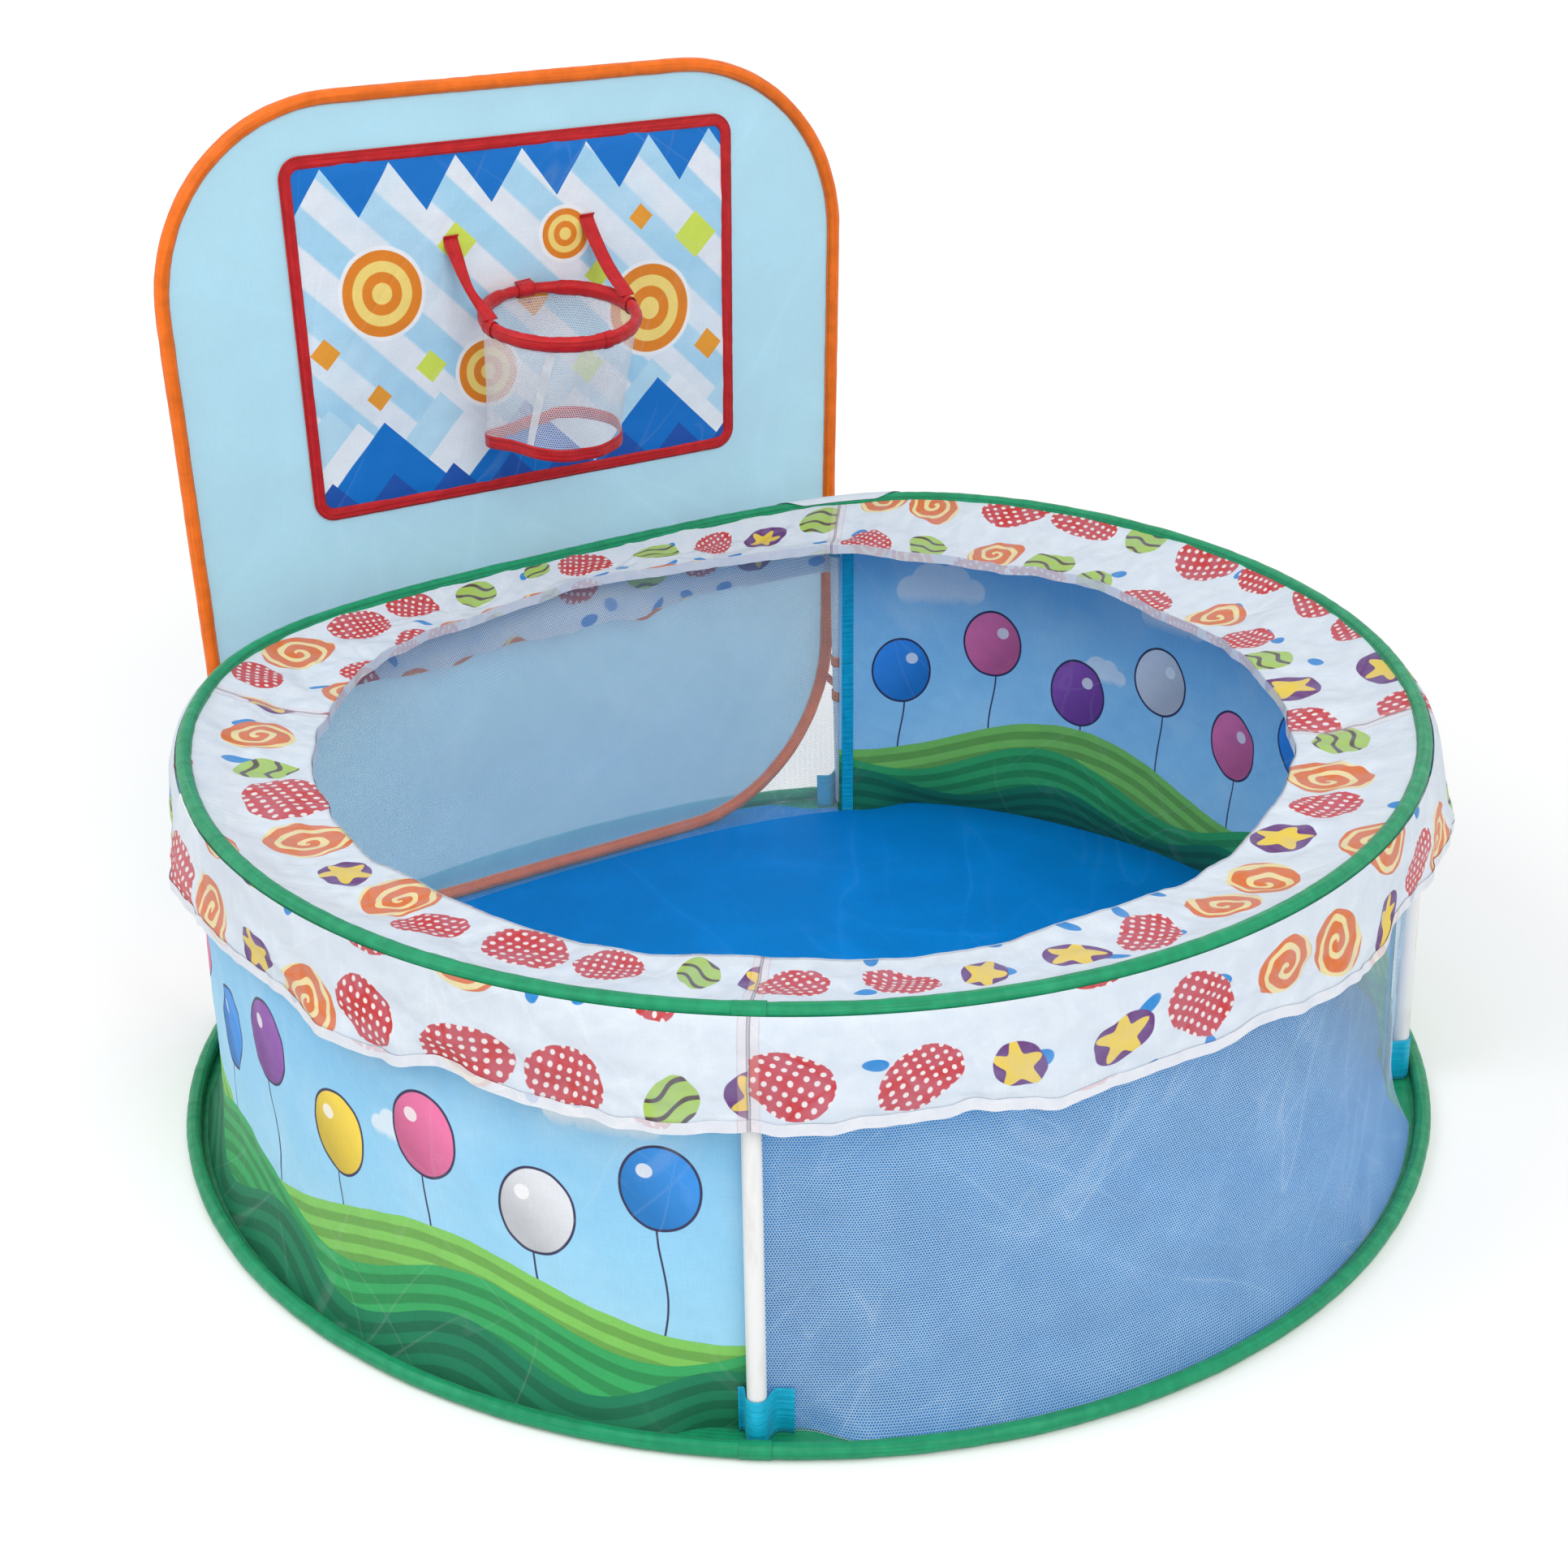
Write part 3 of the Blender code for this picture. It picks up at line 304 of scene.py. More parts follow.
def thread_group():
    """Plain weave: which threads stand up, and how each one's shade differs."""
    tree, given, result = group(
        "plain_weave", [("Cloth", "Vector", None), ("Pitch", "Float", 0.0006)],
        [("Height", "Float"), ("Shade", "Float")],
    )
    turn = calc(tree, "DIVIDE", math.pi, given["Pitch"])
    axes = node(tree, "SeparateXYZ", Vector=given["Cloth"]).outputs
    warp = calc(tree, "SINE", calc(tree, "MULTIPLY", axes["X"], turn))
    weft = calc(tree, "SINE", calc(tree, "MULTIPLY", axes["Y"], turn))
    over = calc(tree, "MULTIPLY", warp, weft)
    tree.links.new(calc(tree, "MULTIPLY_ADD", over, 0.5, 0.5), result["Height"])
    slub = node(tree, "TexNoise", Vector=stretched(tree, given["Cloth"], 60, 900), Scale=1.0, Detail=2.0)
    slub_across = node(
        tree, "TexNoise", Vector=stretched(tree, given["Cloth"], 900, 60), Scale=1.0, Detail=2.0,
    )
    shade = calc(tree, "ADD", slub.outputs["Fac"], slub_across.outputs["Fac"])
    tree.links.new(calc(tree, "MULTIPLY", shade, 0.5), result["Shade"])
    return tree


def crease_group():
    """Creases left in thin cloth from being packed: soft swells and short, sharp folds.

    The folds run in three slanting directions, and only here and there."""
    tree, given, result = group(
        "pack_creases", [("Cloth", "Vector", None), ("Size", "Float", 0.05)],
        [("Height", "Float"), ("Fold", "Float")],
    )
    scale = calc(tree, "DIVIDE", 1.0, given["Size"])
    soft = node(tree, "TexNoise", Vector=given["Cloth"], Scale=scale, Detail=3.0, Roughness=0.5)
    height, fold = soft.outputs["Fac"], 0.0
    for angle, seed in ((0.62, 1.7), (-0.85, 4.1), (1.75, 8.3)):
        turned = node(tree, "VectorRotate", {"rotation_type": "Z_AXIS"}, Vector=given["Cloth"], Angle=angle)
        long_way = stretched(tree, turned.outputs[0], 0.22, 1.0)
        moved = node(tree, "VectorMath", {"operation": "ADD"})
        tree.links.new(long_way, moved.inputs[0])
        moved.inputs[1].default_value = (seed, seed, 0.0)
        line = node(tree, "TexNoise", Vector=moved.outputs[0], Scale=scale, Detail=1.0).outputs["Fac"]
        off = calc(tree, "ABSOLUTE", calc(tree, "SUBTRACT", line, 0.5))
        place = node(
            tree, "TexNoise", Vector=moved.outputs[0], Scale=calc(tree, "MULTIPLY", scale, 0.8), Detail=1.0,
        ).outputs["Color"]
        here = ramp(tree, node(tree, "SeparateColor", Color=place).outputs["Green"], 0.50, 0.66)
        ridge = calc(tree, "MULTIPLY", ramp(tree, off, 0.07, 0.0), here)
        height = calc(tree, "MULTIPLY_ADD", ridge, 0.22, height)
        sharp = calc(tree, "MULTIPLY", ramp(tree, off, 0.014, 0.0), here)
        fold = calc(tree, "MAXIMUM", sharp, fold)
    tree.links.new(height, result["Height"])
    tree.links.new(fold, result["Fold"])
    return tree


plain_weave = thread_group()
pack_creases = crease_group()


def blank(name, roughness, sheen=0.0, bump=0.0006):
    """A new cloth material: its tree, shader, laid-out cloth position and bump node."""
    made = bpy.data.materials.new(name)
    made.use_nodes = True
    tree = made.node_tree
    shader = tree.nodes["Principled BSDF"]
    shader.inputs["Roughness"].default_value = roughness
    shader.inputs["Sheen Weight"].default_value = sheen
    shader.inputs["Specular IOR Level"].default_value = 0.28
    cloth = node(tree, "UVMap", {"uv_map": "cloth"}).outputs[0]
    raised = node(tree, "Bump", Strength=1.0, Distance=bump)
    tree.links.new(raised.outputs[0], shader.inputs["Normal"])
    return made, tree, shader, cloth, raised


def satin(name, colour, roughness=0.38, gather=0.012, seam=None):
    """Woven satin binding, with a painted highlight on its ridges and painted shade where it is drawn
    together.

    Its stitched seam, if it has one, runs along it at that place across the cloth."""
    made, tree, shader, cloth, raised = blank(name, roughness, 0.05, 0.0007)
    along = 1 / gather
    pull = node(tree, "TexNoise", Vector=stretched(tree, cloth, along, 45), Scale=1.0, Detail=2.0)
    drawn = node(tree, "TexNoise", Vector=stretched(tree, cloth, 9, 260), Scale=1.0, Detail=2.0)
    threads = use(tree, plain_weave, Cloth=cloth, Pitch=0.0005)
    # painted highlight and painted shade: the colour is lighter on the satin's ridges and darker where it is
    # drawn together
    shade = ramp(tree, calc(tree, "ADD", pull.outputs["Fac"], drawn.outputs["Fac"]), 0.75, 1.25)
    shaded_satin = tuple(c * 0.80 for c in colour)
    highlit_satin = tuple(c * 1.12 + 0.004 for c in colour)
    toned = mixed(tree, shade, shaded_satin, highlit_satin)
    toned = mixed(tree, ramp(tree, threads["Shade"], 0.35, 0.65, 0.0, 0.25), toned, colour)
    height = calc(tree, "MULTIPLY_ADD", threads["Height"], 0.10, shade)
    if seam is not None:
        axes = node(tree, "SeparateXYZ", Vector=cloth).outputs
        off = calc(tree, "ABSOLUTE", calc(tree, "SUBTRACT", axes["Y"], seam))
        valley = ramp(tree, off, 0.0011, 0.0003)
        beat = calc(tree, "SINE", calc(tree, "MULTIPLY", axes["X"], 2 * math.pi / STITCH))
        thread = calc(tree, "MULTIPLY", ramp(tree, off, 0.0005, 0.0002), ramp(tree, beat, -0.4, -0.1))
        # painted shade: the seam's groove is darkened; the stitches keep the thread's own paler colour
        toned = mixed(tree, calc(tree, "MULTIPLY", valley, 0.45), toned, tuple(c * 0.45 for c in colour))
        toned = mixed(tree, thread, toned, tuple(c * 1.15 + 0.01 for c in colour))
        height = calc(tree, "MULTIPLY_ADD", valley, -0.9, height)
        height = calc(tree, "MULTIPLY_ADD", thread, 0.6, height)
    tree.links.new(toned, shader.inputs["Base Color"])
    tree.links.new(ramp(tree, shade, 0, 1, roughness + 0.08, roughness - 0.05), shader.inputs["Roughness"])
    tree.links.new(height, raised.inputs["Height"])
    return made


def spring_steel():
    """Drawn spring wire: grey, with fine lines along it."""
    made = bpy.data.materials.new("spring_steel")
    made.use_nodes = True
    tree = made.node_tree
    shader = tree.nodes["Principled BSDF"]
    shader.inputs["Metallic"].default_value = 1.0
    place = node(tree, "TexCoord").outputs["Object"]
    drawn = node(tree, "TexNoise", Vector=stretched(tree, place, 40, 40, 2500), Scale=1.0, Detail=3.0)
    worn = ramp(tree, drawn.outputs["Fac"], 0.3, 0.7)
    dull = tuple(c * 0.8 for c in STEEL)
    tree.links.new(mixed(tree, worn, STEEL, dull), shader.inputs["Base Color"])
    tree.links.new(ramp(tree, worn, 0, 1, 0.28, 0.42), shader.inputs["Roughness"])
    return made


spring_wire = spring_steel()
for name in ("base_hoop", "top_hoop", "board"):
    for kind in ("_wire", "_ferrule"):
        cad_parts[name + kind].data.materials[0] = spring_wire
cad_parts["rim_wire"].data.materials[0] = spring_wire

SEAM_TURN = math.radians(140)   # round the binding from its outer side to its seam
green_satin = satin("green_satin", GREEN, seam=SEAM_TURN * BINDING_RADIUS)
BASE = flattened(BASE_RADIUS, BASE_REAR)
LOOP_STATIONS = 1500
SKY = np.array([0.0, 0.0, 1.0])


def loop_azimuths(count, start=SEAM_AZIMUTH):
    return start + np.linspace(0, 2 * math.pi, count, endpoint=False)


def hoop_binding(name, hoop, height, lap_name):
    """A hoop's binding, and the short lap where its two ends are sewn together."""
    path, out = hoop_line(hoop, loop_azimuths(LOOP_STATIONS), BINDING_RADIUS, height)
    round_hoop = bind(name, path, out, SKY, BINDING_RADIUS * 0.97)
    half_lap = 0.013 / hoop[0]
    turns = np.linspace(SEAM_AZIMUTH - half_lap, SEAM_AZIMUTH + half_lap, 14)
    path, out = hoop_line(hoop, turns, BINDING_RADIUS, height)
    lap = bind(lap_name, path, out, SKY, BINDING_RADIUS * 1.06, 0.04, 0.005, ends=True)
    for piece in (round_hoop, lap):
        for vertex in piece.data.vertices:
            vertex.co.z = max(vertex.co.z, 0.0002)
    return round_hoop, lap


base_binding, base_lap = hoop_binding("base_binding", BASE, BINDING_RADIUS, "base_binding_lap")
dress(base_binding, "base", green_satin, "base_hoop_sleeve")
dress(base_lap, "base", green_satin, "base_hoop_sleeve")
edge_azimuths = loop_azimuths(720)
edge_rows = []
for inset, height in ((0.010, 0.0004), (0.014, SEAM_EDGE), (0.028, SEAM_EDGE), (SEAM_EDGE_INSET, SEAM_EDGE)):
    edge_rows.append(hoop_line(BASE, edge_azimuths, inset, height)[0])
base_seam_edge = sew("base_seam_edge", np.array(edge_rows), round_columns=True)
dress(base_seam_edge, "base", satin("green_seam_edge", GREEN), "base_hoop_sleeve")


# ---- Floor --------------------------------------------------------------------
# One round of strong blue coated cloth, sewn to the base hoop's seam edge. It keeps
# the soft creases of being folded away, and its rim lies up on the seam edge.
FLOOR_BLUE = (0.0, 0.27, 0.76)
FLOOR_RIM_INSET = 0.0200
FLOOR_POLE_INSET = 0.0400      # it stays behind the walls where they pass the poles
FLOOR_STEPS = 181
CORNERS = {"front_left": -135, "front_right": -45, "rear_right": 45, "rear_left": 135}
FLARE_START = 0.036            # a wall's foot clears a pole's pocket up to here
FLARE_RUN = 0.060              # and has run out to the hoop's binding this far on


def smooth(share):
    share = np.clip(share, 0, 1)
    return share * share * (3 - 2 * share)


def pole_run(azimuths):
    """How far it is along the base hoop to the nearest pole."""
    away = [
        np.abs((azimuths - math.radians(corner) + math.pi) % (2 * math.pi) - math.pi)
        for corner in CORNERS.values()
    ]
    return np.min(away, axis=0) * BASE_RADIUS


def fill(outline, steps):
    """A square grid of points stretched to fill an outline of (a, b) pairs."""
    middle = (outline.min(axis=0) + outline.max(axis=0)) / 2
    half = outline.max(axis=0) - middle
    around = outline - middle
    line = np.linspace(-1, 1, steps)
    across, upward = np.meshgrid(line, line)
    ring = np.maximum(abs(across), abs(upward))
    turn = np.arctan2(upward * half[1], across * half[0])
    bearing = np.arctan2(around[:, 1], around[:, 0])
    reach = np.interp(turn, bearing, np.hypot(*around.T), period=2 * math.pi)
    return middle + np.stack([np.cos(turn), np.sin(turn)], axis=-1) * (reach * ring)[..., None], ring


azimuths = loop_azimuths(720)
near_pole = 1 - smooth((pole_run(azimuths) - FLARE_START) / FLARE_RUN)
rim_inset = FLOOR_RIM_INSET + (FLOOR_POLE_INSET - FLOOR_RIM_INSET) * near_pole
rim_line = hoop_line(BASE, azimuths, rim_inset)[0][:, :2]
floor_plan, floor_ring = fill(rim_line, FLOOR_STEPS)
spots = np.concatenate([floor_plan, 0 * floor_plan[..., :1]], axis=-1)
swell = 0.0011 * (1 + rumple(spots / 0.11)) + 0.0006 * (1 + rumple(spots / 0.035, 7.0))
rim_rise = np.clip((floor_ring - 0.90) / 0.04, 0, 1)
floor_height = 0.0003 + swell * (1 - 0.6 * rim_rise) + rim_rise * (SEAM_EDGE + 0.0004)
floor_cloth = sew("floor_cloth", np.dstack([floor_plan, floor_height]), plan=floor_plan)


def coated_floor():
    """Coated blue cloth, nearly matt, with pale wear on the folds and painted light and shade on its creases.
    """
    made, tree, shader, cloth, raised = blank("coated_blue_cloth", 0.60, 0.0, 0.0011)
    shader.inputs["Specular IOR Level"].default_value = 0.12
    creases = use(tree, pack_creases, Cloth=cloth, Size=0.075)
    fine = use(tree, pack_creases, Cloth=cloth, Size=0.022)
    threads = use(tree, plain_weave, Cloth=cloth, Pitch=0.0007)
    # painted light and shade: darker in the creases' hollows, lighter on their rises
    crease_shading = ramp(tree, creases["Height"], 0.45, 1.0)
    colour = mixed(tree, crease_shading, tuple(c * 0.90 for c in FLOOR_BLUE), tuple(c * 1.1 for c in FLOOR_BLUE))
    worn = calc(tree, "MULTIPLY", creases["Fold"], 0.10)
    colour = mixed(tree, worn, colour, (0.12, 0.36, 0.75))
    colour = mixed(tree, ramp(tree, threads["Shade"], 0.4, 0.6, 0.0, 0.12), colour, (0.0, 0.12, 0.5))
    tree.links.new(colour, shader.inputs["Base Color"])
    tree.links.new(ramp(tree, threads["Shade"], 0.4, 0.6, 0.54, 0.66), shader.inputs["Roughness"])
    height = calc(tree, "MULTIPLY_ADD", fine["Height"], 0.35, creases["Height"])
    height = calc(tree, "MULTIPLY_ADD", threads["Height"], 0.04, height)
    tree.links.new(height, raised.inputs["Height"])
    return made


dress(floor_cloth, "base", coated_floor(), "floor_sheet")

# ---- Walls --------------------------------------------------------------------
# Four cloth walls run between the corner poles, sewn to the base seam edge and under
# the top hoop: fine pale blue mesh at the front and rear, and cloth printed with green
# hills under a blue sky on the left and right, bound in cyan satin at its ends.
BOARD_FRONT = 0.4845
TOP_RADIUS = 0.568
TOP_REAR = 0.4547
TOP_HEIGHT = 0.390
WALL_FOOT = flattened(0.56225, BOARD_FRONT - 0.0035)
TOP = flattened(TOP_RADIUS, TOP_REAR)
WALL_TOP_INSET = 0.0125
WALL_BOTTOM = 0.0023
WALL_TOP = 0.3838
FLARE = 0.0185                 # the foot runs out to the binding between the poles
SIDES = {
    "front": ("front_left", "front_right"), "right": ("front_right", "rear_right"),
    "rear": ("rear_right", "rear_left"), "left": ("rear_left", "front_left"),
}


def wall_points(side, along, share, inward=0.0):
    """Points on a wall: along is 0 to 1 from corner to corner, share 0 to 1 upward."""
    start, end = (math.radians(CORNERS[corner]) for corner in SIDES[side])
    span = (end - start) % (2 * math.pi)
    along, share = np.broadcast_arrays(np.asarray(along, float), np.asarray(share, float))
    azimuths = start + span * along
    foot, outward = hoop_line(WALL_FOOT, azimuths, 0.0, WALL_BOTTOM)
    top = hoop_line(TOP, azimuths, WALL_TOP_INSET, WALL_TOP)[0]
    run = span * BASE_RADIUS * np.minimum(along, 1 - along)
    flare = 0.0 if side == "rear" else FLARE
    out = flare * smooth((run - FLARE_START) / FLARE_RUN) * np.clip(1 - share / 0.16, 0, 1) ** 2
    seed = {"front": 1.0, "right": 11.0, "rear": 21.0, "left": 31.0}[side]
    place = np.stack([azimuths * BASE_RADIUS, share * TOP_HEIGHT, 0 * share], axis=-1)
    taut = np.sin(math.pi * np.clip(share, 0, 1)) ** 0.7 * smooth(run / 0.05)
    slanted = np.stack([
        (place[..., 0] + 0.6 * place[..., 1]) / 0.035, (place[..., 1] - 0.4 * place[..., 0]) / 0.16,
        place[..., 2],
    ], axis=-1)
    depth = 0.0045 * rumple(place / 0.13, seed) + 0.0022 * rumple(slanted, seed + 3)
    depth += 0.0007 * rumple(place / 0.016, seed + 5)
    depth = np.minimum(depth - 0.0015, 0.0012)
    if side == "front":
        upright = np.stack([place[..., 0] / 0.012, place[..., 1] / 0.30, place[..., 2]], axis=-1)
        gather = smooth((along - 0.80) / 0.10) * (0.35 + 0.65 * share)
        pleats = 0.0050 * np.abs(rumple(upright, 41.0))
        pleats += 0.0025 * np.abs(rumple(upright * 2.3, 9.0))
        depth -= gather * pleats
    depth = depth * taut
    points = foot + (top - foot) * share[..., None]
    return points + outward * (out + depth - inward)[..., None]


def wall_sheet(side, name):
    along = np.linspace(0.0006, 0.9994, 260)
    rise = np.linspace(0.0, 1.0, 100) ** 1.15
    grid = wall_points(side, along[None, :], rise[:, None])
    return sew(name, grid)


MESH_PITCH = 0.0023
MESH_BLUE = (0.58, 0.79, 0.96)


def hole_group():
    """Knitted mesh: threads between staggered small holes."""
    tree, given, result = group(
        "knitted_mesh", [("Cloth", "Vector", None), ("Pitch", "Float", MESH_PITCH)],
        [("Thread", "Float"), ("Height", "Float")],
    )
    turn = calc(tree, "DIVIDE", 2 * math.pi, given["Pitch"])
    axes = node(tree, "SeparateXYZ", Vector=given["Cloth"]).outputs
    u = calc(tree, "MULTIPLY", axes["X"], turn)
    v = calc(tree, "MULTIPLY", axes["Y"], turn)
    slope = calc(tree, "MULTIPLY", v, 0.5)
    one = calc(tree, "COSINE", calc(tree, "ADD", u, slope))
    two = calc(tree, "COSINE", calc(tree, "SUBTRACT", u, slope))
    three = calc(tree, "COSINE", v)
    total = calc(tree, "ADD", calc(tree, "ADD", one, two), three)
    tree.links.new(ramp(tree, total, 0.5, -0.3), result["Thread"])
    tree.links.new(ramp(tree, total, 2.0, -1.0), result["Height"])
    return tree


knitted_mesh = hole_group()


def mesh_cloth(name, colour, pitch, closed, open_part):
    """Fine mesh: closed threads, and holes that let only part of the light by."""
    made, tree, shader, cloth, raised = blank(name, 0.7, 0.05, 0.0006)
    holes = use(tree, knitted_mesh, Cloth=cloth, Pitch=pitch)
    creases = use(tree, pack_creases, Cloth=cloth, Size=0.055)
    # painted light and shade: darker in the creases' hollows, lighter on their rises
    crease_shading = ramp(tree, creases["Height"], 0.40, 0.75)
    shaded = mixed(tree, crease_shading, tuple(c * 0.90 for c in colour), tuple(min(1.0, c * 1.06) for c in colour))
    shaded = mixed(tree, calc(tree, "MULTIPLY", creases["Fold"], 0.25), shaded, (0.85, 0.90, 0.95))
    tree.links.new(shaded, shader.inputs["Base Color"])
    cover = ramp(tree, holes["Thread"], 0, 1, open_part, closed)
    cover = calc(tree, "MULTIPLY_ADD", creases["Fold"], 0.08, cover, clamp=True)
    tree.links.new(cover, shader.inputs["Alpha"])
    height = calc(tree, "MULTIPLY_ADD", creases["Height"], 1.2, holes["Height"])
    tree.links.new(height, raised.inputs["Height"])
    return made


wall_meshes = {
    "front": mesh_cloth("pale_blue_mesh", MESH_BLUE, MESH_PITCH, 0.62, 0.05),
    # the rear wall is the same pale blue mesh as the front, painted paler as painted light on its inner face,
    # and made more open
    "rear": mesh_cloth("pale_blue_rear_mesh_painted_lit", (0.84, 0.97, 1.0), MESH_PITCH, 0.30, 0.03),
}

SKY_HIGH = (0.20, 0.53, 0.86)
SKY_LOW = (0.34, 0.68, 0.90)
CLOUD = (0.80, 0.88, 0.94)
CLOUDS = [((0.040, 0.270), 0.022), ((0.250, 0.285), 0.030), ((0.475, 0.300), 0.026), ((0.565, 0.215), 0.018),
          ((0.760, 0.285), 0.030)]
GREEN_DARK = (0.01, 0.19, 0.09)
GREEN_MID = (0.035, 0.36, 0.11)
GREEN_LIGHT = (0.20, 0.52, 0.10)
MOWN_ROW = 0.019
INK = (0.035, 0.03, 0.09)
SUN_YELLOW = (0.86, 0.62, 0.05)
PLUM = (0.25, 0.07, 0.38)
PINK = (0.80, 0.16, 0.36)
PLAIN_BLUE = (0.02, 0.26, 0.74)


def inside(tree, distance, edge, soft=0.0007):
    """A mask that is 1 where a distance is less than an edge."""
    short = calc(tree, "SUBTRACT", edge, distance)
    return calc(tree, "MULTIPLY_ADD", short, 1 / soft, 0.5, clamp=True)


def local(tree, cloth, place, turn=0.0):
    """Position about a point of the cloth, turned by an angle: vector, x, y, reach, bearing."""
    made = node(tree, "VectorMath", {"operation": "SUBTRACT"})
    feed(tree, made.inputs[0], cloth)
    feed(tree, made.inputs[1], place)
    turned = node(tree, "VectorRotate", {"rotation_type": "Z_AXIS"}, Vector=made.outputs[0], Angle=turn)
    return seen_from(tree, turned.outputs[0])


def seen_from(tree, vector):
    axes = node(tree, "SeparateXYZ", Vector=vector).outputs
    squared = calc(tree, "MULTIPLY", axes["X"], axes["X"])
    squared = calc(tree, "MULTIPLY_ADD", axes["Y"], axes["Y"], squared)
    reach = calc(tree, "SQRT", squared)
    bearing = calc(tree, "ARCTAN2", axes["Y"], axes["X"])
    return vector, axes["X"], axes["Y"], reach, bearing


def pointed(tree, reach, bearing, points, depth):
    """A star's measure: reach, made longer between its points."""
    wave = calc(tree, "COSINE", calc(tree, "MULTIPLY", bearing, float(points)))
    return calc(tree, "MULTIPLY", reach, calc(tree, "MULTIPLY_ADD", wave, -depth, 1.0))


def scattered(tree, cloth, spacing, looseness, seed=0.0):
    """Motifs set out at random: the cloth's position about each, and random numbers."""
    moved = node(tree, "VectorMath", {"operation": "ADD"})
    feed(tree, moved.inputs[0], cloth)
    moved.inputs[1].default_value = (seed, 0.37 * seed, 0.0)
    cells = node(
        tree, "TexVoronoi", {"voronoi_dimensions": "2D", "feature": "F1"},
        Vector=moved.outputs[0], Scale=1 / spacing, Randomness=looseness,
    )
    picks = node(tree, "SeparateColor", Color=cells.outputs["Color"]).outputs
    turn = calc(tree, "MULTIPLY", picks["Red"], 2 * math.pi)
    return local(tree, moved.outputs[0], cells.outputs["Position"], turn)[0], picks


def bubble(tree, cloth, colour, place, size, ink):
    """A toy balloon on a swaying thread, with a dark outline and a highlight."""
    about, x, y, _, _ = local(tree, cloth, (*place, 0.0))
    reach = seen_from(tree, stretched(tree, about, 1.0, 0.84))[3]
    thread_sway = calc(tree, "MULTIPLY", calc(tree, "SINE", calc(tree, "MULTIPLY", y, 45.0)), 0.004)
    off_thread = calc(tree, "ABSOLUTE", calc(tree, "SUBTRACT", x, thread_sway))
    thread = calc(tree, "MULTIPLY", inside(tree, off_thread, 0.0009), inside(tree, y, -size))
    colour = mixed(tree, thread, colour, INK)
    colour = mixed(tree, inside(tree, reach, size), colour, INK)
    shade = ramp(tree, calc(tree, "ADD", x, y), -size, size)
    body = mixed(tree, shade, tuple(c * 0.72 for c in ink), tuple(min(1, c * 1.1 + 0.02) for c in ink))
    colour = mixed(tree, inside(tree, reach, size - 0.0022), colour, body)
    glint = local(tree, cloth, (place[0] - 0.36 * size, place[1] + 0.44 * size, 0.0))[3]
    return mixed(tree, calc(tree, "MULTIPLY", inside(tree, glint, 0.2 * size), 0.75), colour, (0.95,) * 3)


def hills_print(name, bubbles):
    """Printed cloth: mown green hills under a blue sky with clouds and toy balloons."""
    made, tree, shader, cloth, raised = blank(name, 0.55, 0.04, 0.0010)
    height = node(tree, "SeparateXYZ", Vector=cloth).outputs["Y"]
    colour = mixed(tree, ramp(tree, height, 0.10, 0.36), SKY_LOW, SKY_HIGH)
    wash = node(tree, "TexNoise", Vector=cloth, Scale=9.0, Detail=3.0).outputs["Fac"]
    colour = mixed(tree, ramp(tree, wash, 0.45, 0.75, 0.0, 0.35), colour, (0.62, 0.84, 0.95))

    for place, size in CLOUDS:
        beyond = 1.0
        for x, y, puff in ((-1.15, 0.0, 0.52), (-0.45, 0.35, 0.68), (0.35, 0.30, 0.80), (1.1, 0.0, 0.58),
                           (0.0, -0.05, 0.80)):
            middle = (place[0] + x * size, place[1] + y * size, 0.0)
            beyond = calc(tree, "MINIMUM", calc(tree, "SUBTRACT", local(tree, cloth, middle)[3], puff * size),
                          beyond)
        cloud = calc(tree, "MULTIPLY", inside(tree, beyond, 0.0, 0.002),
                     ramp(tree, height, place[1] - 0.60 * size, place[1] - 0.20 * size))
        colour = mixed(tree, calc(tree, "MULTIPLY", cloud, 0.80), colour, CLOUD)
    for place, size, ink in bubbles:
        colour = bubble(tree, cloth, colour, place, size, ink)

    across = node(tree, "SeparateXYZ", Vector=cloth).outputs["X"]
    for start, (top, swing, turns, green) in enumerate((
        (0.112, 0.028, 13.0, GREEN_LIGHT), (0.082, 0.024, 19.0, GREEN_MID), (0.042, 0.018, 26.0, GREEN_DARK),
    )):
        crest = calc(tree, "SINE", calc(tree, "MULTIPLY_ADD", across, turns, 2.1 * start))
        below = calc(tree, "SUBTRACT", calc(tree, "MULTIPLY_ADD", crest, swing, top), height)
        rows = calc(tree, "SINE", calc(tree, "MULTIPLY", below, 2 * math.pi / MOWN_ROW))
        tint = mixed(
            tree, ramp(tree, rows, -0.2, 0.2), tuple(c * 0.78 for c in green), tuple(c * 1.15 for c in green),
        )
        colour = mixed(tree, inside(tree, calc(tree, "MULTIPLY", below, -1.0), 0.0), colour, tint)

    threads = use(tree, plain_weave, Cloth=cloth, Pitch=0.0006)
    creases = use(tree, pack_creases, Cloth=cloth, Size=0.060)
    fine = use(tree, pack_creases, Cloth=cloth, Size=0.020)
    colour = mixed(tree, calc(tree, "MULTIPLY", creases["Fold"], 0.07), colour, (0.85, 0.9, 0.95))
    colour = mixed(tree, ramp(tree, threads["Shade"], 0.40, 0.60, 0.0, 0.06), colour, (0.02, 0.02, 0.05))
    tree.links.new(colour, shader.inputs["Base Color"])
    tree.links.new(ramp(tree, threads["Shade"], 0.4, 0.6, 0.50, 0.62), shader.inputs["Roughness"])
    lift = calc(tree, "MULTIPLY_ADD", fine["Height"], 0.4, creases["Height"])
    tree.links.new(calc(tree, "MULTIPLY_ADD", threads["Height"], 0.05, lift), raised.inputs["Height"])
    return made


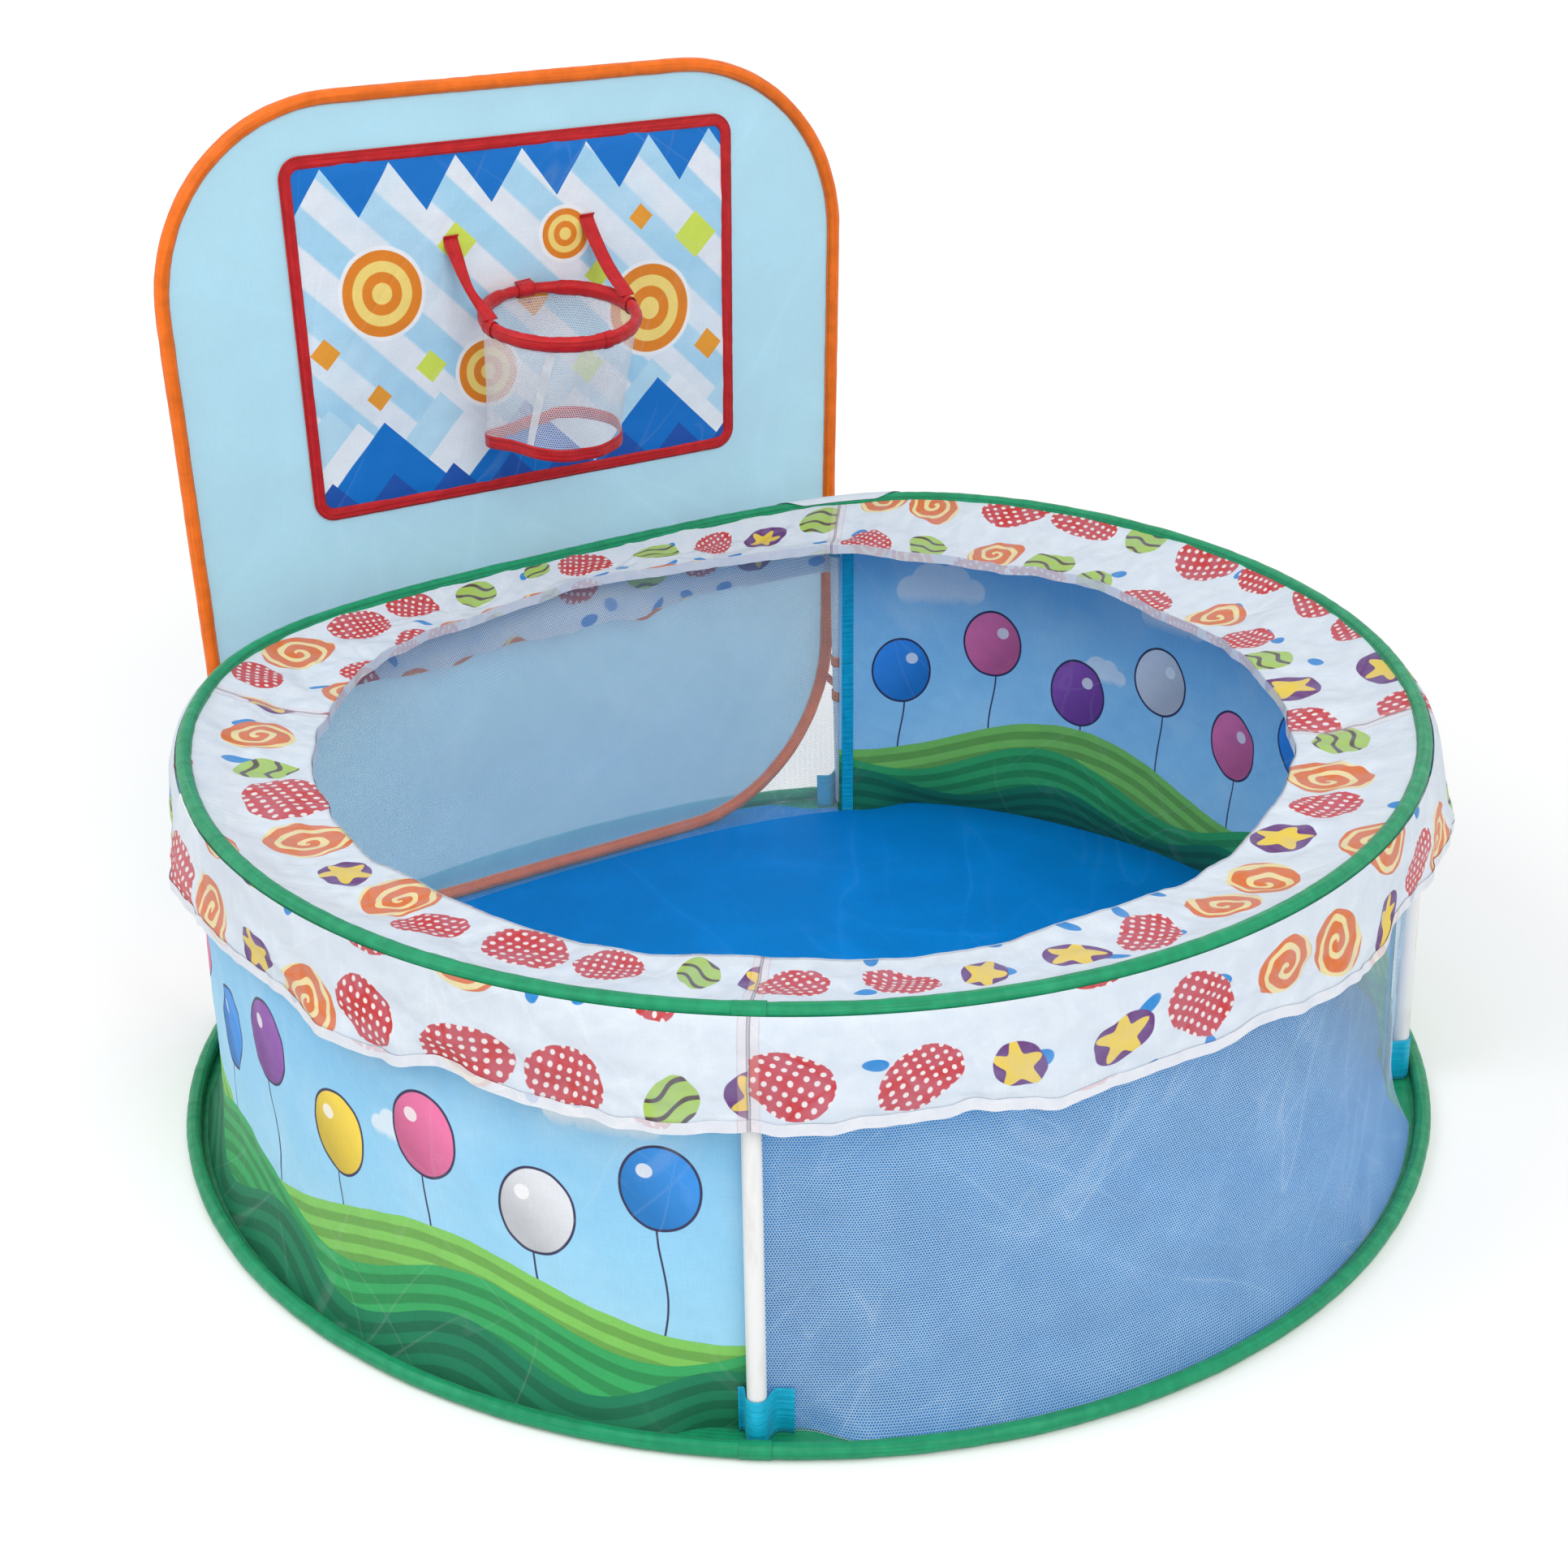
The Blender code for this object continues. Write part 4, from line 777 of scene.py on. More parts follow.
GREY_WHITE = (0.70, 0.72, 0.76)
BUBBLES = {
    "left": [
        ((0.070, 0.185), 0.034, PLUM), ((0.175, 0.225), 0.034, PINK),
        ((0.280, 0.185), 0.034, PLAIN_BLUE), ((0.385, 0.225), 0.034, PLUM),
        ((0.490, 0.185), 0.034, SUN_YELLOW), ((0.595, 0.225), 0.034, PINK),
        ((0.700, 0.185), 0.034, GREY_WHITE), ((0.805, 0.225), 0.034, PLAIN_BLUE),
    ],
    "right": [
        ((0.070, 0.225), 0.034, SUN_YELLOW), ((0.175, 0.185), 0.034, PLUM),
        ((0.280, 0.225), 0.034, PLAIN_BLUE), ((0.385, 0.185), 0.034, PINK),
        ((0.490, 0.225), 0.034, GREY_WHITE), ((0.595, 0.185), 0.034, PLUM),
        ((0.700, 0.225), 0.034, PINK), ((0.805, 0.185), 0.034, PLAIN_BLUE),
    ],
}
WALL_NODES = {
    "front": "wall_mesh_front", "rear": "wall_mesh_rear",
    "left": "wall_print_left", "right": "wall_print_right",
}
HEM_START = 0.004
HEM_WIDTH = 0.014
HEM_STAND = 0.0009


def crumple_down(piece):
    """Give a piece of cloth between the ground and the top hoop its own copy of its mesh."""
    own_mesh(piece)


cyan_satin = satin("cyan_satin", (0.0, 0.42, 0.64), seam=0.0025)
for side, wall_node in WALL_NODES.items():
    wall = wall_sheet(side, wall_node + "_cloth")
    finish = wall_meshes.get(side) or hills_print(side + "_hills_print", BUBBLES[side])
    dress(wall, "base", finish, wall_node)
    hems = []
    if side in ("left", "right"):
        for corner, sense in zip(SIDES[side], (1, -1)):
            reach = np.array([HEM_START, HEM_START + HEM_WIDTH / 2, HEM_START + HEM_WIDTH]) / (
                BASE_RADIUS * math.pi / 2)
            along = reach if sense > 0 else 1 - reach
            rise = np.linspace(0.0, 1.0, 80)
            strip = wall_points(side, along[None, :], rise[:, None], HEM_STAND)
            hem = sew("wall_hem_" + side + "_" + corner, strip)
            near = corner.split("_")[0]
            dress(hem, "base", cyan_satin, "wall_hem_" + side + "_" + near)
            hems.append(hem)
    for piece in (wall, *hems):
        crumple_down(piece)


# ---- Poles and their pockets --------------------------------------------------
# Four white plastic tubes with round moulded end plugs. Each stands in a cyan satin
# pocket sewn to the wall's foot, and its head in a gathered cap under the top hoop.
POLE_RADIUS = 0.008
POLES = {
    "front_left": ((-0.40588, -0.40588, 0.0103), (-0.4011, -0.4011, 0.366)),
    "front_right": ((0.40588, -0.40588, 0.0103), (0.4011, -0.4011, 0.366)),
    "rear_right": ((0.40139, 0.39759, 0.0103), (0.3746, 0.3742, 0.366)),
    "rear_left": ((-0.40576, 0.40542, 0.0103), (-0.3995, 0.3995, 0.366)),
}


def lathe(name, profile, foot, head, sides=40, pleats=0, depth=0.0):
    """A round piece turned from (radius, height) pairs about the line foot to head."""
    foot, head = Vector(foot), Vector(head)
    turn = (head - foot).to_track_quat("Z", "Y").to_matrix().to_4x4()
    place = np.array(Matrix.Translation(foot) @ turn)
    rows = []
    for radius, height in profile:
        angles = np.linspace(0, 2 * math.pi, sides, endpoint=False)
        reach = radius * (1 + depth * np.cos(pleats * angles))
        local_points = np.stack([
            reach * np.cos(angles), reach * np.sin(angles), 0 * angles + height, 0 * angles + 1,
        ], axis=-1)
        rows.append((local_points @ place.T)[:, :3])
    return sew(name, np.array(rows), round_columns=True)


def white_plastic():
    """Extruded white plastic: fine lines along it, a little scuffed and yellowed."""
    made = bpy.data.materials.new("white_plastic_tube")
    made.use_nodes = True
    tree = made.node_tree
    shader = tree.nodes["Principled BSDF"]
    place = node(tree, "TexCoord").outputs["Object"]
    drawn = node(tree, "TexNoise", Vector=stretched(tree, place, 900, 900, 12), Scale=1.0, Detail=2.0)
    scuffs = node(tree, "TexNoise", Vector=stretched(tree, place, 60, 60, 18), Scale=1.0, Detail=5.0)
    worn = ramp(tree, scuffs.outputs["Fac"], 0.56, 0.72)
    tree.links.new(mixed(tree, worn, (0.84, 0.84, 0.83), (0.74, 0.74, 0.72)), shader.inputs["Base Color"])
    tree.links.new(ramp(tree, worn, 0, 1, 0.30, 0.48), shader.inputs["Roughness"])
    raised = node(tree, "Bump", Strength=0.4, Distance=0.0002, Height=drawn.outputs["Fac"])
    tree.links.new(raised.outputs[0], shader.inputs["Normal"])
    return made


def catmull(points, count):
    """A smooth path of count points through a few given ones."""
    points = np.array(points, float)
    steps = np.append(0, np.cumsum(np.linalg.norm(np.diff(points, axis=0), axis=1)))
    padded = np.concatenate([2 * points[:1] - points[1:2], points, 2 * points[-1:] - points[-2:-1]])
    where = np.linspace(0, steps[-1], count)
    slot = np.clip(np.searchsorted(steps, where, side="right") - 1, 0, len(points) - 2)
    t = ((where - steps[slot]) / (steps[slot + 1] - steps[slot]))[:, None]
    a, b, c, d = (padded[slot + k] for k in range(4))
    bend = 2 * a - 5 * b + 4 * c - d
    swing = 3 * b - a - 3 * c + d
    return 0.5 * (2 * b + (c - a) * t + bend * t ** 2 + swing * t ** 3)


def ribbon(name, path, across, width, thickness=0.0008, steps=6, wave=0.0):
    """A strip of cloth along a path; across is the way its width runs at each point."""
    across = np.broadcast_to(np.asarray(across, float), path.shape)
    rows = []
    for share in np.linspace(-0.5, 0.5, steps + 1):
        row = path + across * (width * share)
        ripple = rumple(row / 0.012, 2.0)[:, None] * wave
        rows.append(row + np.cross(across, np.gradient(path, axis=0) / 0.004) * ripple)
    strip = sew(name, np.array(rows))
    thick = strip.modifiers.new("cloth_thickness", "SOLIDIFY")
    thick.thickness = thickness
    thick.offset = 0.0
    return strip


def pocket_path(centre, outward, reach, back, flaps):
    """From a flap flat on the wall, round the front of the pole, to a flap beyond it."""
    side = np.cross((0, 0, 1.0), outward)
    path = [centre + side * (reach + flaps[0]) - outward * back]
    path.append(centre + side * (reach + 0.3 * flaps[0]) - outward * back)
    for turn in np.linspace(0, math.pi, 13):
        path.append(centre + (side * math.cos(turn) + outward * math.sin(turn)) * reach)
    path.append(centre - side * (reach + 0.3 * flaps[1]) - outward * back)
    path.append(centre - side * (reach + flaps[1]) - outward * back)
    return catmull(path, 72)


tube_plastic = white_plastic()
for corner, (foot, head) in POLES.items():
    foot, head = np.array(foot), np.array(head)
    length = float(np.linalg.norm(head - foot))
    top = length - POLE_RADIUS
    nose = [(POLE_RADIUS * math.sin(a), POLE_RADIUS * math.cos(a)) for a in np.linspace(0.02, 1.5, 9)]
    groove = POLE_RADIUS * 0.955
    profile = [(r, -h) for r, h in nose]
    profile += [(POLE_RADIUS, 0.0), (groove, 0.0001), (groove, 0.0005), (POLE_RADIUS * 0.985, 0.0006)]
    profile += [(POLE_RADIUS, 0.0012), (POLE_RADIUS, top - 0.0012), (POLE_RADIUS * 0.985, top - 0.0006)]
    profile += [(groove, top - 0.0005), (groove, top - 0.0001), (POLE_RADIUS, top)]
    profile += [(r, top + h) for r, h in reversed(nose)]
    tube = lathe("pole_tube_" + corner, profile, foot, head)
    plugs = ["pole_foot_plug_" + corner, "pole_head_plug_" + corner]
    dress(tube, "pole_" + corner, tube_plastic, "pole_" + corner, *plugs)

    outward = hoop_line(BASE, [math.radians(CORNERS[corner])])[1][0]
    upright = (head - foot) / length
    centre = foot + upright * (0.0240 - foot[2]) / upright[2]
    path = pocket_path(centre, outward, 0.0091, 0.0101, (0.020, 0.007))
    pocket = ribbon("foot_pocket_" + corner + "_cloth", path, upright, 0.0432, 0.0008, 14, 0.0003)
    dress(pocket, "base", cyan_satin, "foot_pocket_" + corner)
    crumple_down(pocket)

    cap = [(0.0098, -0.0395), (0.0093, -0.030), (0.0092, -0.015), (0.0092, 0.0), (0.0089, 0.004)]
    cap += [(0.0072, 0.008), (0.0048, 0.012), (0.0032, 0.0160)]
    gathered = lathe("top_pocket_" + corner + "_cloth", cap, head, head + upright, 72, 12, 0.035)
    dress(gathered, "top_hoop", cyan_satin, "top_pocket_" + corner)
    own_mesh(gathered)

# ---- Top hoop -----------------------------------------------------------------
# The same spring wire in green satin, held level on the four poles. The walls hang
# from its underside and the printed skirt and valance from its outer and inner sides.
top_binding, top_lap = hoop_binding("top_binding", TOP, TOP_HEIGHT, "top_binding_lap")
dress(top_binding, "top_hoop", green_satin, "top_hoop_sleeve")
dress(top_lap, "top_hoop", green_satin, "top_hoop_sleeve")

# ---- Skirt and valance --------------------------------------------------------
# Thin white cloth printed with sweets. The skirt hangs outside the hoop in soft folds
# and the valance slopes in to the pool's mouth; each ends in a hem turned once.
SKIRT_DROP = 0.082
SKIRT_HANG = 0.002
SKIRT_BULGE = 0.0155
SKIRT_BULGE_SHARPNESS = 20
SKIRT_BULGE_RISE = 0.4
SKIRT_FOLDS = 12
SKIRT_FOLD_DEPTH = 0.0035
HEM_DEEP = 0.010
VALANCE_WIDTH = 0.120
MOUTH = flattened(TOP_RADIUS - VALANCE_WIDTH, TOP_REAR - 0.035)
VALANCE_DROP = 0.022
VALANCE_SAG = 0.006
VALANCE_FOLDS = 10
COVER_SPAN = (35.5, 54.5)      # degrees round the top hoop
COVER_STATIONS = 90
COVER_TAPER = 26               # stations from each end to its full height
CLOTH_WHITE = (0.75, 0.82, 0.89)
RED = (0.58, 0.025, 0.02)
ORANGE = (0.74, 0.165, 0.02)
CREAM = (0.88, 0.74, 0.36)
PURPLE = (0.13, 0.015, 0.17)
LIME = (0.40, 0.60, 0.09)
DROP_BLUE = (0.0, 0.24, 0.66)


SWEET_SPACING = 0.083
PANEL_LENGTH = TOP_RADIUS * math.pi / 2        # the cloth is cut in four, pole to pole


def sweets_group():
    """The print: dotted, swirled, starred and striped sweets, and small blue drops."""
    tree, given, result = group(
        "printed_sweets", [("Cloth", "Vector", None)], [("Colour", "Color"), ("Ink", "Float")],
    )
    loose = node(tree, "TexNoise", Vector=given["Cloth"], Scale=7.0, Detail=0.0)
    shift = node(tree, "VectorMath", {"operation": "MULTIPLY_ADD"})
    tree.links.new(loose.outputs["Color"], shift.inputs[0])
    shift.inputs[1].default_value = (0.050, 0.050, 0.0)
    tree.links.new(given["Cloth"], shift.inputs[2])
    cloth = shift.outputs[0]
    about, picks = scattered(tree, cloth, 0.052, 0.8, 3.0)
    drop = seen_from(tree, stretched(tree, about, 0.58, 1.0))[3]
    drop = calc(tree, "MULTIPLY", inside(tree, drop, 0.0062), ramp(tree, picks["Green"], 0.66, 0.67))
    colour = mixed(tree, drop, CLOTH_WHITE, DROP_BLUE)

    about, picks = scattered(tree, cloth, SWEET_SPACING, 0.22, 9.0)
    slight = calc(tree, "MULTIPLY_ADD", picks["Red"], 2 * math.pi - 1.1, 0.55)
    turned_back = calc(tree, "MULTIPLY", slight, -1.0)
    level_vector, x, y, reach, bearing = local(tree, about, (0, 0, 0), turned_back)
    oval = seen_from(tree, stretched(tree, level_vector, 0.86, 1.12))[3]
    wobble = node(tree, "TexNoise", Vector=cloth, Scale=42.0, Detail=1.0).outputs["Fac"]
    oval = calc(tree, "MULTIPLY_ADD", wobble, 0.007, oval)
    size = calc(tree, "MULTIPLY_ADD", picks["Green"], 0.007, 0.0305)

    dots = node(
        tree, "TexVoronoi", {"voronoi_dimensions": "2D"}, Vector=level_vector, Scale=1 / 0.0085,
        Randomness=0.0,
    ).outputs["Distance"]
    dotted = mixed(tree, inside(tree, dots, 0.25, 0.08), RED, (0.90, 0.82, 0.80))
    bent = calc(tree, "MULTIPLY_ADD", wobble, 0.010, reach)
    swirl = calc(tree, "MULTIPLY_ADD", bearing, 1 / (2 * math.pi), calc(tree, "DIVIDE", bent, 0.0150))
    swirl = calc(tree, "SINE", calc(tree, "MULTIPLY", swirl, 2 * math.pi))
    swirled = mixed(tree, ramp(tree, swirl, 0.35, 0.55), ORANGE, CREAM)
    star = pointed(tree, reach, bearing, 5, 0.30)
    starred = mixed(tree, inside(tree, star, 0.0155), PURPLE, SUN_YELLOW)
    wave = calc(tree, "SINE", calc(tree, "MULTIPLY", x, 2 * math.pi / 0.040))
    bar_place = calc(tree, "MULTIPLY_ADD", wave, 0.0026, y)
    bars = calc(tree, "SINE", calc(tree, "MULTIPLY", bar_place, 2 * math.pi / 0.0155))
    striped = mixed(tree, ramp(tree, bars, 0.62, 0.80), LIME, (0.09, 0.05, 0.03))

    pick = picks["Blue"]
    ink = mixed(tree, ramp(tree, pick, 0.42, 0.421), dotted, swirled)
    ink = mixed(tree, ramp(tree, pick, 0.64, 0.641), ink, starred)
    ink = mixed(tree, ramp(tree, pick, 0.81, 0.811), ink, striped)
    smaller = calc(tree, "MULTIPLY", ramp(tree, pick, 0.64, 0.641), 0.0072)
    mask = inside(tree, oval, calc(tree, "SUBTRACT", size, smaller))
    tree.links.new(mixed(tree, mask, colour, ink), result["Colour"])
    tree.links.new(calc(tree, "MAXIMUM", mask, drop), result["Ink"])
    return tree


printed_sweets = sweets_group()


def sweets_cloth(name, pale=0.0):
    """Thin white polyester with its print, which a hem's second layer veils.

    It is sewn together from four lengths, and the print doesn't match at their seams."""
    made, tree, shader, cloth, raised = blank(name, 0.55, 0.05, 0.0026)
    axes = node(tree, "SeparateXYZ", Vector=cloth).outputs
    share = calc(tree, "DIVIDE", axes["X"], PANEL_LENGTH)
    length = calc(tree, "FLOOR", share)
    own = node(tree, "CombineXYZ", X=calc(tree, "MULTIPLY_ADD", length, 0.031, axes["X"]),
               Y=calc(tree, "MULTIPLY_ADD", length, 0.137, axes["Y"]))
    prints = use(tree, printed_sweets, Cloth=own.outputs[0])
    colour = prints["Colour"]
    if pale:
        colour = mixed(tree, pale, colour, (0.86, 0.86, 0.90))
    off_seam = calc(tree, "MULTIPLY", calc(tree, "PINGPONG", share, 0.5), PANEL_LENGTH)
    seam = ramp(tree, off_seam, 0.0016, 0.0006)
    allowance = ramp(tree, off_seam, 0.0085, 0.0075)
    threads = use(tree, plain_weave, Cloth=cloth, Pitch=0.0006)
    creases = use(tree, pack_creases, Cloth=cloth, Size=0.060)
    fine = use(tree, pack_creases, Cloth=cloth, Size=0.022)
    # painted shade: blue-grey shadow in the hollows of the fine creases
    crease_shading = ramp(tree, fine["Height"], 0.40, 0.75, 0.17, 0.0)
    colour = mixed(tree, crease_shading, colour, (0.42, 0.52, 0.72))
    colour = mixed(tree, ramp(tree, threads["Shade"], 0.42, 0.58, 0.0, 0.05), colour, (0.35, 0.35, 0.42))
    colour = mixed(tree, calc(tree, "MULTIPLY", allowance, 0.22), colour, (0.84, 0.55, 0.55))
    colour = mixed(tree, calc(tree, "MULTIPLY", seam, 0.6), colour, (0.40, 0.40, 0.46))
    tree.links.new(colour, shader.inputs["Base Color"])
    tree.links.new(ramp(tree, threads["Shade"], 0.4, 0.6, 0.48, 0.62), shader.inputs["Roughness"])
    shader.inputs["Alpha"].default_value = 0.95
    lift = calc(tree, "MULTIPLY_ADD", fine["Height"], 0.5, creases["Height"])
    lift = calc(tree, "MULTIPLY_ADD", threads["Height"], 0.05, lift)
    lift = calc(tree, "MULTIPLY_ADD", allowance, 0.25, lift)
    tree.links.new(calc(tree, "MULTIPLY_ADD", seam, -0.6, lift), raised.inputs["Height"])
    return made


def skirt_points(azimuths, share, below=0.0, stand=0.0):
    """The skirt: share is 0 at the hoop and 1 where its hem is folded."""
    azimuths, share = np.broadcast_arrays(azimuths, np.asarray(share, float))
    nearness = np.max([np.cos(azimuths - math.radians(c)) for c in CORNERS.values()], axis=0)
    flare = SKIRT_HANG * share + SKIRT_BULGE * nearness ** SKIRT_BULGE_SHARPNESS * share ** SKIRT_BULGE_RISE
    fold = SKIRT_FOLD_DEPTH * share * np.sin(SKIRT_FOLDS * azimuths)
    rise = SKIRT_FOLD_DEPTH * share * np.cos(SKIRT_FOLDS * azimuths + 1.0)
    place = np.stack([np.cos(azimuths), np.sin(azimuths), 0.25 * share], axis=-1) * TOP_RADIUS
    ruffle = 0.0075 * rumple(place / 0.050) + 0.0024 * rumple(place / 0.018, 5.0)
    ruffle = np.maximum(ruffle + 0.0016, -0.003 - fold) * share ** 0.8
    waves = 0.0075 * rumple(place / 0.075, 8.0) + 0.0022 * rumple(place / 0.022, 3.0)
    height = TOP_HEIGHT - SKIRT_DROP * share + rise + waves * share - below
    return hoop_line(TOP, azimuths, -(0.0010 + stand + flare + fold + ruffle), height)[0]


def valance_points(azimuths, share, below=0.0, stand=0.0):
    """The valance: share is 0 at the hoop and 1 round the pool's mouth."""
    azimuths, share = np.broadcast_arrays(azimuths, np.asarray(share, float))
    outer = hoop_line(TOP, azimuths, 2 * BINDING_RADIUS - 0.001, TOP_HEIGHT + 0.001)[0]
    inner = hoop_line(MOUTH, azimuths, stand, TOP_HEIGHT - VALANCE_DROP)[0]
    sag = VALANCE_SAG * np.sin(math.pi * share)
    wave = VALANCE_SAG / 2 * share * np.sin(VALANCE_FOLDS * azimuths)
    place = np.stack([np.cos(azimuths), np.sin(azimuths), 0.20 * share], axis=-1) * TOP_RADIUS
    ruffle = 0.0065 * rumple(place / 0.050, 2.0) + 0.0022 * rumple(place / 0.017, 6.0)
    ruffle = ruffle * np.sin(math.pi * np.clip(0.08 + 0.80 * share, 0, 1))
    edge_wave = 0.0050 * rumple(place / 0.045, 12.0) * share ** 2
    points = outer + (inner - outer) * (share + edge_wave / VALANCE_WIDTH)[..., None]
    points[..., 2] += wave - sag + ruffle - below
    return points


def laid_out(grid):
    """Cloth positions of a round sheet: along it from the first pole, and down it."""
    down = np.append(0, np.cumsum(np.linalg.norm(np.diff(grid, axis=0), axis=2).mean(axis=1)))
    along = np.linspace(0, 4 * PANEL_LENGTH, grid.shape[1] + 1)
    return np.stack(np.meshgrid(along, down), axis=-1)


cloth_azimuths = loop_azimuths(1080)[None, :]
sweets = sweets_cloth("printed_sweets_cloth")
sweets_hem = sweets_cloth("printed_sweets_hem", 0.72)
for name, points, rows, stand, flat_size, held in (
    ("skirt", skirt_points, 26, 0.0008, (3.50, 0.092), "hung"),
    ("valance", valance_points, 34, 0.0008, (3.30, 0.128), "stretched"),
):
    shares = np.linspace(0.0, 1.0, rows)
    folds = [points(cloth_azimuths, share)[0] for share in shares]
    folds += [points(cloth_azimuths, 1.0, drop)[0] for drop in np.linspace(0.002, HEM_DEEP, 5)]
    folds = np.array(folds)
    sheet = sew(name + "_cloth", folds, round_columns=True, plan=laid_out(folds))
    dress(sheet, "top_hoop", sweets, name)
    folds = [points(cloth_azimuths, 1.0, drop, stand)[0] for drop in np.linspace(-0.0005, HEM_DEEP, 6)]
    folds = np.array(folds)
    hem = sew(name + "_hem_cloth", folds, round_columns=True, plan=laid_out(folds))
    dress(hem, "top_hoop", sweets_hem, name + "_hem")
    if name == "skirt":
        # over the rear right pole the cloth is bunched up across the hoop's binding
        stations = np.arange(COVER_STATIONS)
        bunched = np.radians(np.linspace(*COVER_SPAN, COVER_STATIONS))
        path, out = hoop_line(TOP, bunched, BINDING_RADIUS, TOP_HEIGHT)
        risen = smooth(np.minimum(stations, stations[::-1]) / COVER_TAPER)
        over = []
        for share in np.linspace(0, 1, 14):
            turn = np.radians(-35 + share * (20 + 165 * risen))
            spots = path * 30 + share * 3
            swell = BINDING_RADIUS * (1.05 + 0.10 * rumple(spots) ** 2) + 0.0004
            around = out * np.cos(turn)[:, None] + SKY * np.sin(turn)[:, None]
            over.append(path + around * swell[:, None])
        cover = sew("hoop_cover_cloth", np.array(over))
        dress(cover, "top_hoop", sweets, "skirt")
    for piece in (sheet, hem):
        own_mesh(piece)

# ---- Throwing board -----------------------------------------------------------
# A sprung, rounded frame in an orange satin binding with one panel of pale blue cloth
# stretched across it. It stands behind the pool, a little askew, tied to two poles.
BOARD_PLACE = Matrix.Translation((0.05227, 0.48985, 0.024)) @ Matrix.Rotation(BOARD_YAW, 4, "Z")
BOARD_WIDTH = 0.775
BOARD_HEIGHT = 0.881
BOARD_CORNER = 0.200
BOARD_NARROWING = 0.024
BOARD_DROOP = 0.0170
BOARD_PIVOT = 0.024
BOARD_BOTTOM = 0.0021
ORANGE_SATIN = (0.88, 0.165, 0.004)
PANEL_BLUE = (0.34, 0.73, 0.90)
PANEL_COVER = 0.82             # the thin weave lets the rest of the light by


def to_world(points, matrix=BOARD_PLACE):
    """Where points of the board's frame, or of another one, stand in the world."""
    full = np.array(matrix)
    return points @ full[:3, :3].T + full[:3, 3]


def board_point(pairs, forward=0.0):
    """(across, height) on the sprung board, whose foot is narrower and whose top droops."""
    pairs = np.asarray(pairs, float)
    across, height = pairs[..., 0], pairs[..., 1]
    narrowed = across * (1 - 2 * BOARD_NARROWING / BOARD_WIDTH * (1 - height / BOARD_HEIGHT))
    level_at = BOARD_BOTTOM + height * (1 - 2 * BOARD_DROOP * across / BOARD_WIDTH)
    return np.stack([narrowed, 0 * across - forward, level_at - BOARD_PIVOT], axis=-1)


def rounded(width, low, high, corner, steps=24):
    """A closed rectangle with rounded corners, as (across, height) pairs."""
    pairs = []
    half = width / 2 - corner
    for across, height, start in (
        (half, low + corner, -90), (half, high - corner, 0),
        (-half, high - corner, 90), (-half, low + corner, 180),
    ):
        for turn in np.radians(np.linspace(start, start + 90, steps + 1)):
            pairs.append((across + corner * math.cos(turn), height + corner * math.sin(turn)))
    return np.array(pairs + pairs[:1])


def evenly(points, count):
    """A closed line cut into equal steps."""
    steps = np.append(0, np.cumsum(np.linalg.norm(np.diff(points, axis=0), axis=1)))
    where = np.linspace(0, steps[-1], count, endpoint=False)
    return np.stack([np.interp(where, steps, axis) for axis in points.T], axis=-1)


def outline(inset, count, forward=0.0):
    """Points along the board's edge, with the way outward at each."""
    pairs = rounded(
        BOARD_WIDTH - 2 * inset, inset, BOARD_HEIGHT - inset, BOARD_CORNER - inset,
    )
    points = evenly(board_point(pairs, forward), count)
    along = np.roll(points, -1, axis=0) - np.roll(points, 1, axis=0)
    along /= np.linalg.norm(along, axis=1, keepdims=True)
    return points, np.cross((0, 1.0, 0), along)


path, out = outline(BINDING_RADIUS, 1400)
turn_only = np.array(BOARD_PLACE)[:3, :3]
board_edge = bind(
    "board_binding_cloth", to_world(path), out @ turn_only.T, turn_only @ (0, 1.0, 0),
    BINDING_RADIUS * 0.97, 0.05, 0.014,
)
orange_satin = satin("orange_satin", ORANGE_SATIN, 0.36, 0.016, seam=math.radians(200) * BINDING_RADIUS)
dress(board_edge, "backboard", orange_satin, "board_binding")


def panel_cloth():
    """Pale blue polyester, lightly creased from being folded away."""
    made, tree, shader, cloth, raised = blank("pale_blue_panel_cloth", 0.60, 0.05, 0.0012)
    shader.inputs["Alpha"].default_value = PANEL_COVER
    threads = use(tree, plain_weave, Cloth=cloth, Pitch=0.0006)
    creases = use(tree, pack_creases, Cloth=cloth, Size=0.085)
    fine = use(tree, pack_creases, Cloth=cloth, Size=0.028)
    # painted light and shade: darker in the creases' hollows, lighter on their rises
    crease_shading = ramp(tree, creases["Height"], 0.45, 1.0)
    low, high = tuple(c * 0.95 for c in PANEL_BLUE), tuple(c * 1.04 for c in PANEL_BLUE)
    colour = mixed(tree, crease_shading, low, high)
    colour = mixed(tree, calc(tree, "MULTIPLY", creases["Fold"], 0.08), colour, (0.62, 0.82, 0.92))
    colour = mixed(tree, ramp(tree, threads["Shade"], 0.42, 0.58, 0.0, 0.07), colour, (0.15, 0.42, 0.6))
    tree.links.new(colour, shader.inputs["Base Color"])
    tree.links.new(ramp(tree, threads["Shade"], 0.4, 0.6, 0.55, 0.66), shader.inputs["Roughness"])
    lift = calc(tree, "MULTIPLY_ADD", fine["Height"], 0.3, creases["Height"])
    tree.links.new(calc(tree, "MULTIPLY_ADD", threads["Height"], 0.04, lift), raised.inputs["Height"])
    return made


